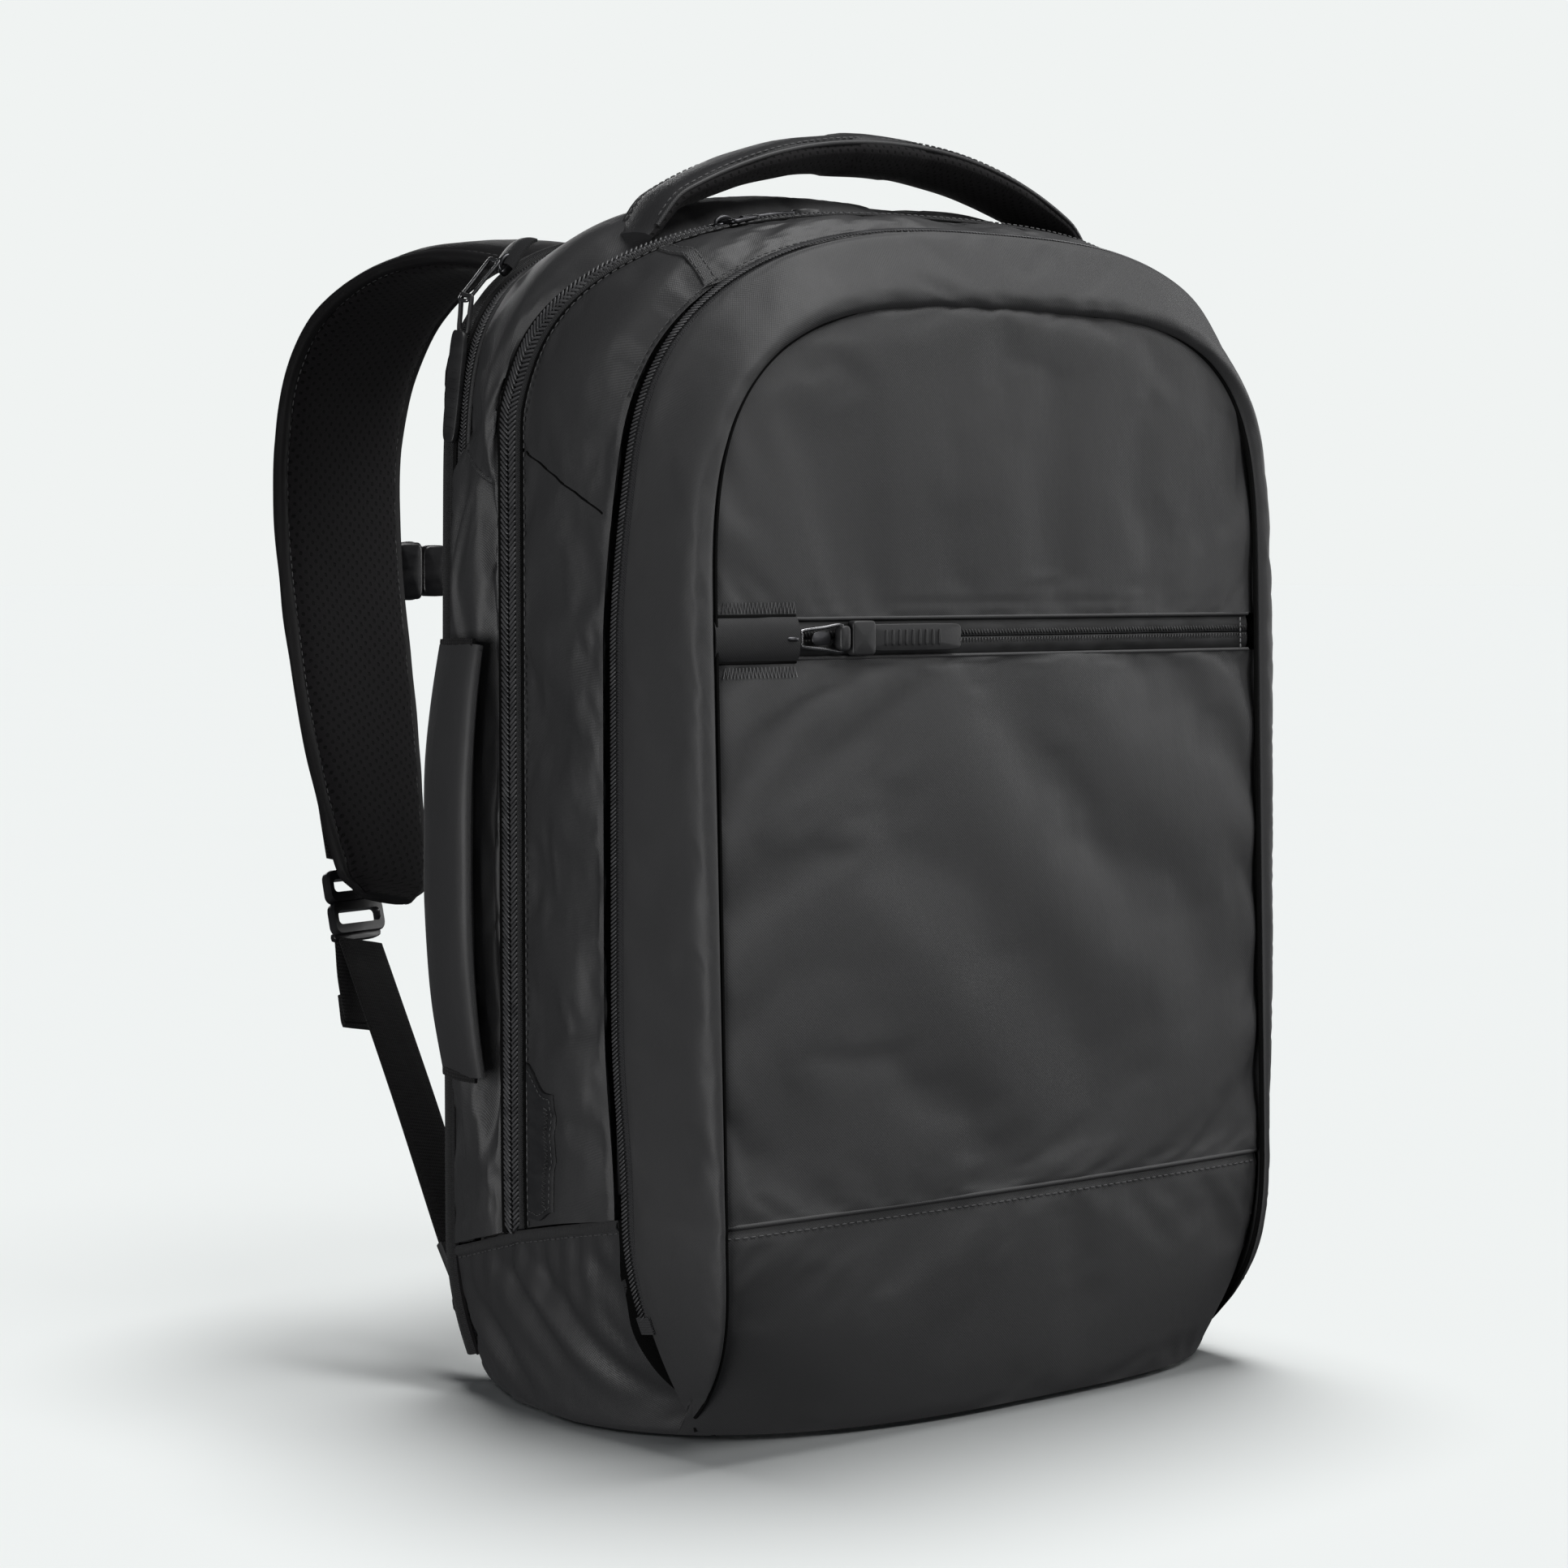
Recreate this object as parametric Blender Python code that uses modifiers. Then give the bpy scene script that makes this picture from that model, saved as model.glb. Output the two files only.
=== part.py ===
"""Travel backpack, about 48 x 31 x 19 cm, standing on its base.

Frame: X to the wearer's side, Y from the front face to the back panel, Z up; the origin is
on the floor under the middle of the base. The bag is built from arch-shaped seams, one
behind the other, and its fabric walls are shells lofted between neighbouring seams.
"""
import math

import bmesh
import bpy
from mathutils import Vector

# ---- driving dimensions (metres) ---------------------------------------------------
GAP = 0.0004                # clearance between neighbouring pieces
SEAM_GAP = 0.0016           # clearance along the curved seams, measured front to back
FABRIC = 0.0025             # laminated wall: coated fabric, foam and lining
FRONT_Y = -0.090            # front face at the boot seam
LEAN = 0.0264               # front face leans back by this much per metre of height
BOOT_FRONT_Z = 0.0888       # boot seam on the front face
BOOT_BACK_Z = 0.0600        # boot seam at the back edge of the side
BOOT_BACK_Y = 0.075
BASE_HEIGHT = 0.0075        # thickness of the base panel
BASE_HALF_WIDTH = 0.1505
BASE_FRONT_DEPTH = 0.108    # front part of the footprint, measured from BASE_MID_Y
BASE_MID_Y = 0.020
BASE_BACK_Y = 0.084
BASE_CORNER = 0.034
FOOTPRINT_POWERS = (2.4, 3.8)      # fullness of the footprint's front corners, left and right
SIDE_TUCK = (0.0030, 0.100, 1.5)   # how far the sides draw in at the floor, over what height
BACK_TUCK = (0.0160, 0.065, 2.0)   # the same at the back corners, which are rounder
TIP_Z = 0.0088              # height where the front band runs out
TIPS = {-1: (0.1315, -0.0540), 1: (0.1400, -0.0600)}   # its |x| and y, left and right
POCKET_TOP_Z = 0.3137
POCKET_BOTTOM_Z = 0.2985
POCKET_ZIP_Z = (POCKET_TOP_Z + POCKET_BOTTOM_Z) / 2
CROWN = 0.0045              # bulge of the front face
MAIN_ZIP_WIDTH = 0.017
LAPTOP_ZIP_WIDTH = 0.009
GROOVE_WIDTH = 0.006        # gutter that the front compartment zip lies in
GROOVE_DEPTH = 0.003
BAND_FLARE = 0.0060         # how far the groove has come forward at the boot seam
PAD_THICKNESS = 0.0135
WEBBING = 0.025
STERNUM_WEBBING = 0.020
STERNUM_Z = 0.331
STERNUM_Y = 0.2665
POCKET_SLIDER_X = -0.1092
GARAGE_LEFT = -0.1395       # the flap over the closed end of the pocket zip
GARAGE_RIGHT = -0.1048
PULL_WIRE = 0.0220          # length of a pull's wire loop
PULL_START_X = -0.1034      # where the pocket pull's wire leaves the slider
PULL_END_X = -0.0827        # where that wire ends and the tab begins
MAIN_SLIDER = Vector((-0.0930, -0.0265, 0.4655))
MAIN_DIRECTION = Vector((0.980, 0.010, 0.190)).normalized()
MAIN_TAB_DIRECTION = Vector((0.985, 0.130, 0.090)).normalized()
LAPTOP_SLIDER = Vector((-0.1255, 0.0710, 0.4535))
LAPTOP_DIRECTION = Vector((-0.62, 0.02, -0.78)).normalized()
LAPTOP_PULL_DIRECTION = Vector((-0.66, 0.06, -0.75)).normalized()
LAPTOP_TAB_DIRECTION = Vector((-0.12, 0.0, -0.99)).normalized()
FRONT_SLIDER = Vector((0.1528, -0.0320, 0.2400))
HANDLE_Y = -0.0020
HANDLE_FOOT_Z = 0.4690
STRAP_THICKNESS = 0.0120
LOCK_CENTRE = Vector((0.1165, 0.2020, 0.1880))
# Centre line of the padded shoulder strap on the +X side: x, y, z and width.
STRAP_ROUTE = (
    (0.066, 0.1015, 0.4560, 0.050), (0.071, 0.1280, 0.4630, 0.060),
    (0.077, 0.1600, 0.4655, 0.066), (0.083, 0.1950, 0.4595, 0.069),
    (0.0885, 0.2270, 0.4430, 0.071), (0.0915, 0.2470, 0.4180, 0.072),
    (0.0935, 0.2545, 0.3880, 0.072), (0.0955, 0.2530, 0.3550, 0.070),
    (0.098, 0.2450, 0.3200, 0.068), (0.1015, 0.2310, 0.2800, 0.065),
    (0.1060, 0.2130, 0.2450, 0.062), (0.1095, 0.1950, 0.2120, 0.058),
    (0.1120, 0.1840, 0.1900, 0.048))
ARCH_STEPS = 18
SIDE_STEPS = 4


def tuck(z, shape=SIDE_TUCK):
    """How far the outline has drawn in at a height z near the floor."""
    most, height, power = shape
    return most * max(0.0, (height - z) / height) ** power


class Seam:
    """An arch-shaped seam: straight sides up to `spring`, a superellipse arch above.

    `powers` are the arch's fullness on the left and on the right. The seam lies at y_low
    up to the height y_from, then bends to y_top at the crown.
    """

    def __init__(self, half, top, spring, powers, y_low, y_top, y_from, bend=1.5,
                 tucked=SIDE_TUCK):
        self.half, self.top, self.spring, self.powers = half, top, spring, powers
        self.y_low, self.y_top, self.y_from, self.bend = y_low, y_top, y_from, bend
        self.tucked = tucked

    def depth(self, z):
        u = max(0.0, (z - self.y_from) / (self.top - self.y_from))
        return self.y_low + (self.y_top - self.y_low) * u ** self.bend

    def power(self, x):
        return self.powers[0] if x < 0 else self.powers[1]

    def top_at(self, x):
        """Height of the arch over a point x across."""
        u, power = min(1.0, abs(x) / self.half), self.power(x)
        return self.spring + (self.top - self.spring) * (1 - u ** power) ** (1 / power)

    def half_at(self, z):
        """Half the width at a height z, on the left."""
        u, power = max(0.0, (z - self.spring) / (self.top - self.spring)), self.powers[0]
        return (self.half - tuck(z, self.tucked)) * max(0.0, 1 - u ** power) ** (1 / power)

    def points(self, foot, inset=0.0, shift=0.0):
        """Left foot, over the arch, to the right foot. `inset` draws the curve inwards."""
        half, top, spring = self.half - inset, self.top - inset, self.spring
        outline = []
        for i in range(SIDE_STEPS):
            z = foot + (spring - foot) * (i / SIDE_STEPS) ** 1.6
            outline.append((-(half - tuck(z, self.tucked)), z))
        right = [(-x, z) for x, z in reversed(outline)]
        for i in range(ARCH_STEPS + 1):
            angle = math.pi * i / ARCH_STEPS
            across, up = -math.cos(angle), max(0.0, math.sin(angle))
            power = self.power(across)
            x = half * math.copysign(abs(across) ** (2 / power), across)
            outline.append((x, spring + (top - spring) * up ** (2 / power)))
        return [Vector((x, self.depth(z) + shift, z)) for x, z in outline + right]


PANEL_TOP = 0.434
PANEL_SEAM = Seam(0.1444, PANEL_TOP, 0.310, (3.2, 4.0), FRONT_Y,
                  FRONT_Y + LEAN * (PANEL_TOP - BOOT_FRONT_Z), BOOT_FRONT_Z, bend=1.0)
GROOVE_SEAM = Seam(0.1528, 0.4624, 0.369, (2.6, 3.0), -0.035, -0.070, 0.305)
LID_RIDGE_SEAM = Seam(0.1546, 0.4665, 0.392, (2.6, 2.9), -0.006, -0.057, 0.345)
MAIN_ZIP_SEAM = Seam(0.1536, 0.4702, 0.410, (2.55, 2.8), 0.022, -0.0436, 0.389)
RIDGE_SEAM = Seam(0.1540, 0.4785, 0.395, (2.9, 3.1), 0.052, 0.012, 0.330)
BACK_SEAM = Seam(0.1482, 0.4690, 0.3562, (3.6, 3.6), 0.078, 0.0745, 0.258, tucked=BACK_TUCK)
FRAME_SHEET_SEAM = Seam(0.138, 0.440, 0.34, (3.4, 3.4), 0.0745, 0.0745, 0.0, tucked=BACK_TUCK)
DIVIDER_SEAM = Seam(0.141, 0.405, 0.34, (3.4, 3.4), 0.048, 0.048, 0.0, tucked=(0.010, 0.09, 2.0))
ORGANISER_SEAM = Seam(0.147, 0.450, 0.355, (2.8, 2.8), -0.030, -0.056, 0.305)


def boot_z(y):
    """Height of the boot seam along the side of the bag."""
    share = (y - FRONT_Y) / (BOOT_BACK_Y - FRONT_Y)
    return BOOT_FRONT_Z + (BOOT_BACK_Z - BOOT_FRONT_Z) * share


def footprint_front(x, inset=0.0):
    """Front edge of the base, y over x."""
    u = min(1.0, abs(x) / (BASE_HALF_WIDTH - inset))
    power = FOOTPRINT_POWERS[0] if x < 0 else FOOTPRINT_POWERS[1]
    return BASE_MID_Y - (BASE_FRONT_DEPTH - inset) * (1 - u ** power) ** (1 / power)


def front_face(x, z):
    """The y of the front face: leaning, crowned, and turned under at the base."""
    u = min(1.0, abs(x) / PANEL_SEAM.half)
    flat_at_zip = 1 - math.exp(-((z - POCKET_ZIP_Z) / 0.06) ** 2)
    crown = CROWN * (1 - u ** 2) * flat_at_zip
    above = PANEL_SEAM.depth(max(z, BOOT_FRONT_Z)) - crown
    drop = max(0.0, (BOOT_FRONT_Z - z) / BOOT_FRONT_Z)
    return above + (footprint_front(x) - above) * drop ** 2.5


# ---- building blocks ---------------------------------------------------------------
COLLECTIONS = {}


def start_scene():
    for old in list(bpy.data.objects):
        bpy.data.objects.remove(old)
    for name in ("travel_backpack", "cutters"):
        COLLECTIONS[name] = bpy.data.collections.new(name)
        bpy.context.scene.collection.children.link(COLLECTIONS[name])


FINISHES = {
    "coated_fabric": ((0.055, 0.055, 0.057), 0.55, 0.0),
    "side_fabric": ((0.030, 0.030, 0.031), 0.60, 0.0),
    "mesh_fabric": ((0.012, 0.011, 0.012), 0.95, 0.0),
    "webbing": ((0.015, 0.014, 0.015), 0.85, 0.0),
    "zip_tape": ((0.022, 0.022, 0.023), 0.45, 0.0),
    "lining": ((0.080, 0.080, 0.085), 0.80, 0.0),
    "buckle_plastic": ((0.016, 0.016, 0.017), 0.40, 0.0),
    "stiffener": ((0.250, 0.250, 0.250), 0.50, 0.0),
    "gunmetal": ((0.180, 0.180, 0.190), 0.30, 1.0),
}


def paint(obj, finish):
    material = bpy.data.materials.new(obj.name)
    material.use_nodes = True
    shader = material.node_tree.nodes["Principled BSDF"]
    colour, roughness, metallic = FINISHES[finish]
    shader.inputs["Base Color"].default_value = (*colour, 1.0)
    shader.inputs["Roughness"].default_value = roughness
    shader.inputs["Metallic"].default_value = metallic
    obj.data.materials.append(material)


def add_mesh(name, bm, finish, smooth=True):
    bmesh.ops.recalc_face_normals(bm, faces=bm.faces)
    mesh = bpy.data.meshes.new(name)
    bm.to_mesh(mesh)
    bm.free()
    if smooth:
        mesh.shade_smooth()
        mesh.set_sharp_from_angle(angle=math.radians(40))
    obj = bpy.data.objects.new(name, mesh)
    COLLECTIONS["travel_backpack"].objects.link(obj)
    paint(obj, finish)
    return obj


def skin_rows(bm, rows, closed=False):
    """Quads between successive rows of points; returns the rows of vertices."""
    grid = [[bm.verts.new(p) for p in row] for row in rows]
    for low, high in zip(grid, grid[1:]):
        count = len(low)
        for i in range(count if closed else count - 1):
            j = (i + 1) % count
            bm.faces.new((low[i], low[j], high[j], high[i]))
    return grid


def wall(name, rows, finish, thickness=FABRIC, inward=None):
    """An open surface through the rows, thickened towards the point `inward`."""
    bm = bmesh.new()
    skin_rows(bm, rows)
    bm.normal_update()
    middle = bm.faces[:][len(bm.faces) // 2]
    target = inward if inward is not None else Vector((0, 0, 0.25))
    if middle.normal.dot(target - middle.calc_center_median()) > 0:
        bmesh.ops.reverse_faces(bm, faces=bm.faces)
    mesh = bpy.data.meshes.new(name)
    bm.to_mesh(mesh)
    bm.free()
    mesh.shade_smooth()
    obj = bpy.data.objects.new(name, mesh)
    COLLECTIONS["travel_backpack"].objects.link(obj)
    solidify = obj.modifiers.new("thickness", "SOLIDIFY")
    solidify.thickness = thickness
    solidify.offset = -1
    solidify.use_even_offset = True
    paint(obj, finish)
    return obj


def loft(name, rings, finish):
    """A closed solid through closed rings, capped at both ends."""
    bm = bmesh.new()
    grid = skin_rows(bm, rings, closed=True)
    bm.faces.new(grid[0])
    bm.faces.new(grid[-1])
    return add_mesh(name, bm, finish)


def block(name, size, centre, finish, bevel=0.0, turn=0.0, tilt=0.0):
    """A box with rounded edges; `turn` about Z, `tilt` about X."""
    bm = bmesh.new()
    bmesh.ops.create_cube(bm, size=1.0)
    bmesh.ops.scale(bm, vec=size, verts=bm.verts)
    obj = add_mesh(name, bm, finish, smooth=False)
    obj.location = centre
    obj.rotation_euler = (tilt, 0.0, turn)
    if bevel:
        rounding = obj.modifiers.new("rounding", "BEVEL")
        rounding.width = bevel
        rounding.segments = 2
    return obj


def wire(name, points, radius, finish, cyclic=False, resolution=2):
    """A bent wire through the points."""
    curve = bpy.data.curves.new(name, "CURVE")
    curve.dimensions = "3D"
    curve.bevel_depth = radius
    curve.bevel_resolution = resolution
    curve.use_fill_caps = True
    spline = curve.splines.new("POLY")
    spline.points.add(len(points) - 1)
    for point, place in zip(spline.points, points):
        point.co = (*place, 1.0)
    spline.use_cyclic_u = cyclic
    obj = bpy.data.objects.new(name, curve)
    COLLECTIONS["travel_backpack"].objects.link(obj)
    paint(obj, finish)
    return obj


def smooth_path(points, steps):
    """Points on a smooth curve through the given ones (Catmull-Rom)."""
    ends = [2 * points[0] - points[1]] + points + [2 * points[-1] - points[-2]]
    path = []
    for a, b, c, d in zip(ends, ends[1:], ends[2:], ends[3:]):
        for i in range(steps):
            t = i / steps
            path.append(0.5 * (2 * b + (c - a) * t + (2 * a - 5 * b + 4 * c - d) * t ** 2
                               + (3 * b - a - 3 * c + d) * t ** 3))
    return path + [points[-1]]


def ribbon_rings(path, across, widths, thicknesses, corner=8):
    """Rounded-rectangle rings along a path. `across` is the width direction at each point."""
    rings = []
    for i, centre in enumerate(path):
        ahead = path[min(i + 1, len(path) - 1)] - path[max(i - 1, 0)]
        ahead.normalize()
        side = (across[i] - ahead * across[i].dot(ahead)).normalized()
        face = ahead.cross(side)
        ring = []
        for k in range(corner * 2):
            angle = 2 * math.pi * k / (corner * 2)
            c, s = math.cos(angle), math.sin(angle)
            u = math.copysign(abs(c) ** 0.45, c) * widths[i] / 2
            v = math.copysign(abs(s) ** 0.8, s) * thicknesses[i] / 2
            ring.append(centre + side * u + face * v)
        rings.append(ring)
    return rings


def flat_ribbon(name, path, across, width, thickness, finish):
    """Webbing: a plain rectangular section along a path."""
    rings = []
    for i, centre in enumerate(path):
        ahead = (path[min(i + 1, len(path) - 1)] - path[max(i - 1, 0)]).normalized()
        side = (across - ahead * across.dot(ahead)).normalized()
        face = ahead.cross(side)
        corners = ((-1, -1), (1, -1), (1, 1), (-1, 1))
        rings.append([centre + side * (a * width / 2) + face * (b * thickness / 2)
                      for a, b in corners])
    return loft(name, rings, finish)


def between(start, end, count):
    return [start + (end - start) * i / (count - 1) for i in range(count)]


def cut(obj, centre, size, turn=0.0, tilt=0.0):
    """Cuts a box-shaped slot out of an object."""
    bm = bmesh.new()
    bmesh.ops.create_cube(bm, size=1.0)
    bmesh.ops.scale(bm, vec=size, verts=bm.verts)
    mesh = bpy.data.meshes.new("slot")
    bm.to_mesh(mesh)
    bm.free()
    cutter = bpy.data.objects.new("slot_cutter", mesh)
    cutter.location = centre
    cutter.rotation_euler = (tilt, 0.0, turn)
    cutter.hide_render = True
    cutter.display_type = "WIRE"
    COLLECTIONS["cutters"].objects.link(cutter)
    boolean = obj.modifiers.new("slot", "BOOLEAN")
    boolean.operation = "DIFFERENCE"
    boolean.solver = "EXACT"
    boolean.object = cutter


# ---- body: walls of the back half --------------------------------------------------
def shifted(rows, dy):
    return [p + Vector((0, dy, 0)) for p in rows]


def feet_on_boot(points, clearance):
    """Moves both feet of an arch curve on to the boot seam."""
    for end, step in ((0, 1), (-1, -1)):
        point = points[end]
        point.z = boot_z(point.y) + clearance
        point.x = math.copysign(abs(points[end + step].x) - tuck(point.z), point.x)
    return points


def arch_wall(name, stations, finish, thickness=FABRIC):
    """A wall above the boot seam through (seam, inset, shift in y) stations."""
    rows = []
    for seam, inset, shift in stations:
        points = seam.points(BOOT_FRONT_Z, inset, shift)
        rows.append(feet_on_boot(points, GAP))
    return wall(name, rows, finish, thickness)


def build_back_half():
    rear = MAIN_ZIP_WIDTH
    arch_wall("back_gusset", [
        (MAIN_ZIP_SEAM, 0.0, rear + SEAM_GAP),
        (RIDGE_SEAM, -0.001, 0.0),
        (BACK_SEAM, 0.0, -LAPTOP_ZIP_WIDTH - SEAM_GAP)], "side_fabric")
    arch_wall("laptop_zip_tape", [
        (BACK_SEAM, 0.0008, -LAPTOP_ZIP_WIDTH),
        (BACK_SEAM, 0.0008, -GAP)], "zip_tape", 0.0015)
    arch_wall("main_zip_rear_tape", [
        (MAIN_ZIP_SEAM, 0.0010, rear / 2 + GAP),
        (MAIN_ZIP_SEAM, 0.0010, rear)], "zip_tape", 0.0015)
    build_base()
    build_boot_sides()
    build_back_panel()
    build_inside()


def footprint(inset, count=20):
    """Outline of the base from above, anticlockwise from the front left."""
    half = BASE_HALF_WIDTH - inset
    points = []
    for i in range(count + 1):
        x = -half * math.cos(math.pi * i / count)
        points.append((x, footprint_front(x, inset)))
    back = BASE_BACK_Y - inset
    for side, start in ((1, 0.0), (-1, math.pi / 2)):
        for i in range(5):
            angle = start + math.pi / 2 * i / 4
            points.append((side * (half - BASE_CORNER) + BASE_CORNER * math.cos(angle),
                           back - BASE_CORNER + BASE_CORNER * math.sin(angle)))
    return points


def build_base():
    rounding = 0.0035
    rings = []
    for inset, z in ((rounding, 0.0), (rounding * 0.3, rounding * 0.3), (0.0, rounding),
                     (0.0, BASE_HEIGHT - GAP)):
        rings.append([Vector((x, y, z)) for x, y in footprint(inset)])
    loft("base_panel", rings, "side_fabric")
    board = [Vector((x, y, BASE_HEIGHT)) for x, y in footprint(0.008)]
    lid = [Vector((x, y, BASE_HEIGHT + 0.002)) for x, y in footprint(0.008)]
    loft("base_stiffener", [board, lid], "stiffener")


def groove_below(share, side):
    """Front edge of the boot side: from the boot seam (0) down to the tip (1)."""
    tip_x, tip_y = TIPS[side]
    start = GROOVE_SEAM.depth(0.0) - BAND_FLARE
    half = GROOVE_SEAM.half - tuck(BOOT_FRONT_Z)
    x = half + (tip_x - half) * share ** 2
    y = start + (tip_y - start) * share ** 1.8
    return Vector((side * x, y, BOOT_FRONT_Z + (TIP_Z - BOOT_FRONT_Z) * share))


def panel_below(share, side):
    """Inner edge of the front band: from the boot seam (0) down to the tip (1)."""
    tip_x, tip_y = TIPS[side]
    x = PANEL_SEAM.half + (tip_x - PANEL_SEAM.half) * share ** 2
    z = BOOT_FRONT_Z + (TIP_Z - BOOT_FRONT_Z) * share
    edge = PANEL_SEAM.depth(BOOT_FRONT_Z)
    return Vector((side * x, edge + (tip_y - edge) * share ** 3, z))


def build_boot_sides():
    """The side walls of the boot, from the front groove to the back panel."""
    depths = 7
    for side, name in ((-1, "boot_side_left"), (1, "boot_side_right")):
        rows = []
        for share in (0.0, 0.25, 0.5, 0.72, 0.88, 1.0):
            edge = groove_below(share, side)
            row = []
            for i in range(depths):
                u = i / (depths - 1)
                y = edge.y + GROOVE_WIDTH / 2 + (BACK_SEAM.y_low - GAP - edge.y
                                                 - GROOVE_WIDTH / 2) * u
                z = BASE_HEIGHT + (boot_z(y) - BASE_HEIGHT) * (1 - share)
                at_back = tuck(z, BACK_TUCK) - tuck(z)
                half = (GROOVE_SEAM.half - tuck(z) - at_back * u ** 4
                        - (GROOVE_SEAM.half - BACK_SEAM.half) * u ** 3)
                row.append(Vector((side * half, y, z)))
            rows.append(row)
        wall(name, rows, "side_fabric", inward=Vector((0, 0.02, 0.05)))


def build_back_panel():
    """The padded back panel with its stiffener sheet."""
    bottom = 0.0115
    outline = BACK_SEAM.points(bottom, 0.0005)
    middle = BACK_SEAM.y_low + PAD_THICKNESS / 2
    rings = []
    for inset, dy in ((0.004, -0.5), (0.0, -0.2), (0.0, 0.15), (0.004, 0.42), (0.013, 0.5)):
        ring = []
        for p in outline:
            shrink = inset / 0.16
            ring.append(Vector((p.x * (1 - shrink), middle + dy * PAD_THICKNESS,
                                0.24 + (p.z - 0.24) * (1 - inset / 0.24))))
        rings.append(ring)
    loft("back_panel", rings, "mesh_fabric")
    front = FRAME_SHEET_SEAM.points(0.016)
    loft("frame_sheet", [front, shifted(front, 0.0018)], "stiffener")


def build_inside():
    """Laptop divider between the main and the laptop compartment."""
    front = DIVIDER_SEAM.points(0.016)
    loft("laptop_divider", [front, shifted(front, 0.005)], "lining")


# ---- body: front gusset, which opens as the lid ------------------------------------
def build_lid():
    half_zip = MAIN_ZIP_WIDTH / 2
    arch_wall("front_gusset", [
        (GROOVE_SEAM, 0.0, GROOVE_WIDTH),
        (LID_RIDGE_SEAM, 0.0, 0.0),
        (MAIN_ZIP_SEAM, 0.0, -SEAM_GAP)], "side_fabric")
    arch_wall("main_zip_front_tape", [
        (MAIN_ZIP_SEAM, 0.0010, GAP),
        (MAIN_ZIP_SEAM, 0.0010, half_zip)], "zip_tape", 0.0015)
    arch_wall("front_zip_rear_tape", [
        (GROOVE_SEAM, GROOVE_DEPTH, GROOVE_WIDTH / 2 + GAP),
        (GROOVE_SEAM, GROOVE_DEPTH, GROOVE_WIDTH - SEAM_GAP)], "zip_tape", 0.0012)
    rows = []
    for z in (0.094, 0.200, 0.305, 0.345, 0.380, 0.405, 0.425, 0.438, 0.445):
        half, y = ORGANISER_SEAM.half_at(z), ORGANISER_SEAM.depth(z)
        rows.append([Vector((x, y, z)) for x in between(-half, half, 5)])
    wall("organiser_wall", rows, "lining", 0.0015, Vector((0, 0.5, 0.25)))


# ---- body: front panel, which opens the front compartment --------------------------
def band_fullness(z):
    """The padding of the front band thins towards the floor."""
    share = min(1.0, max(0.0, (z - BOOT_FRONT_Z) / (0.33 - BOOT_FRONT_Z)))
    return 0.40 + 0.50 * share ** 0.8


def band_rings():
    """Sections of the padded front band, from the left tip over the arch to the right."""
    inner = PANEL_SEAM.points(BOOT_FRONT_Z)
    outer = GROOVE_SEAM.points(BOOT_FRONT_Z)
    for end, side in ((0, -1), (-1, 1)):
        outer[end] = groove_below(0.0, side)
    shares = (0.97, 0.85, 0.68, 0.45, 0.22)
    left = [(panel_below(s, -1), groove_below(s, -1)) for s in shares]
    right = [(panel_below(s, 1), groove_below(s, 1)) for s in reversed(shares)]
    pairs = left + list(zip(inner, outer)) + right
    profile = ((0.0, 0.0), (-0.055, 0.0045), (-0.045, 0.0085), (0.02, 0.0115), (0.14, 0.0120),
               (0.40, 0.0085), (0.72, 0.0040), (1.0, 0.0), (0.93, -0.0030), (0.5, 0.0035),
               (0.12, 0.0060), (0.03, 0.0020))
    rings = []
    for i, (a, b) in enumerate(pairs):
        before, after = pairs[max(i - 1, 0)], pairs[min(i + 1, len(pairs) - 1)]
        along = (after[0] + after[1]) - (before[0] + before[1])
        chord = b - a
        out = chord.cross(along).normalized()
        size = chord.length / 0.049 * band_fullness(a.z)
        if out.dot(a - Vector((0, 0, 0.22))) < 0:
            out.negate()
        rings.append([a + chord * f + out * h * size for f, h in profile])
    return rings


def panel_rows(low, high, columns=14, rows=6):
    """The front face between two heights, inside the band."""
    half = PANEL_SEAM.half - GAP * 3
    grid = []
    for j in range(rows):
        row = []
        for i in range(columns + 1):
            x = -half * math.cos(math.pi * i / columns)
            top = min(high, PANEL_SEAM.top_at(x / half * PANEL_SEAM.half) - GAP * 3)
            z = low + (max(top, low + 0.003) - low) * j / (rows - 1)
            row.append(Vector((x, front_face(x, z), z)))
        grid.append(row)
    return grid


def build_front_panel():
    loft("front_band", band_rings(), "coated_fabric")
    behind = Vector((0, 0.5, 0.25))
    thin = 0.0020
    wall("panel_upper", panel_rows(POCKET_TOP_Z, 1.0), "coated_fabric", thin, behind)
    wall("panel_lower", panel_rows(BOOT_FRONT_Z + GAP, POCKET_BOTTOM_Z), "coated_fabric",
         thin, behind)
    rows = []
    for share in (0.94, 0.8, 0.62, 0.4, 0.2, 0.0):
        z = max(panel_below(share, 1).z, TIP_Z + 0.0010) - GAP
        row = []
        for i in range(15):
            along = -math.cos(math.pi * i / 14)
            edge = panel_below(share, math.copysign(1, along))
            x = along * (abs(edge.x) - 0.0012 - 0.0055 * share ** 3)
            row.append(Vector((x, front_face(x, z) + GAP, z)))
        rows.append(row)
    wall("boot_front", rows, "coated_fabric", thin, behind)
    arch_wall("front_zip_front_tape", [
        (GROOVE_SEAM, GROOVE_DEPTH + 0.0014, GAP),
        (GROOVE_SEAM, GROOVE_DEPTH + 0.0014, GROOVE_WIDTH / 2)], "zip_tape", 0.0012)
    build_pocket()


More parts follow.
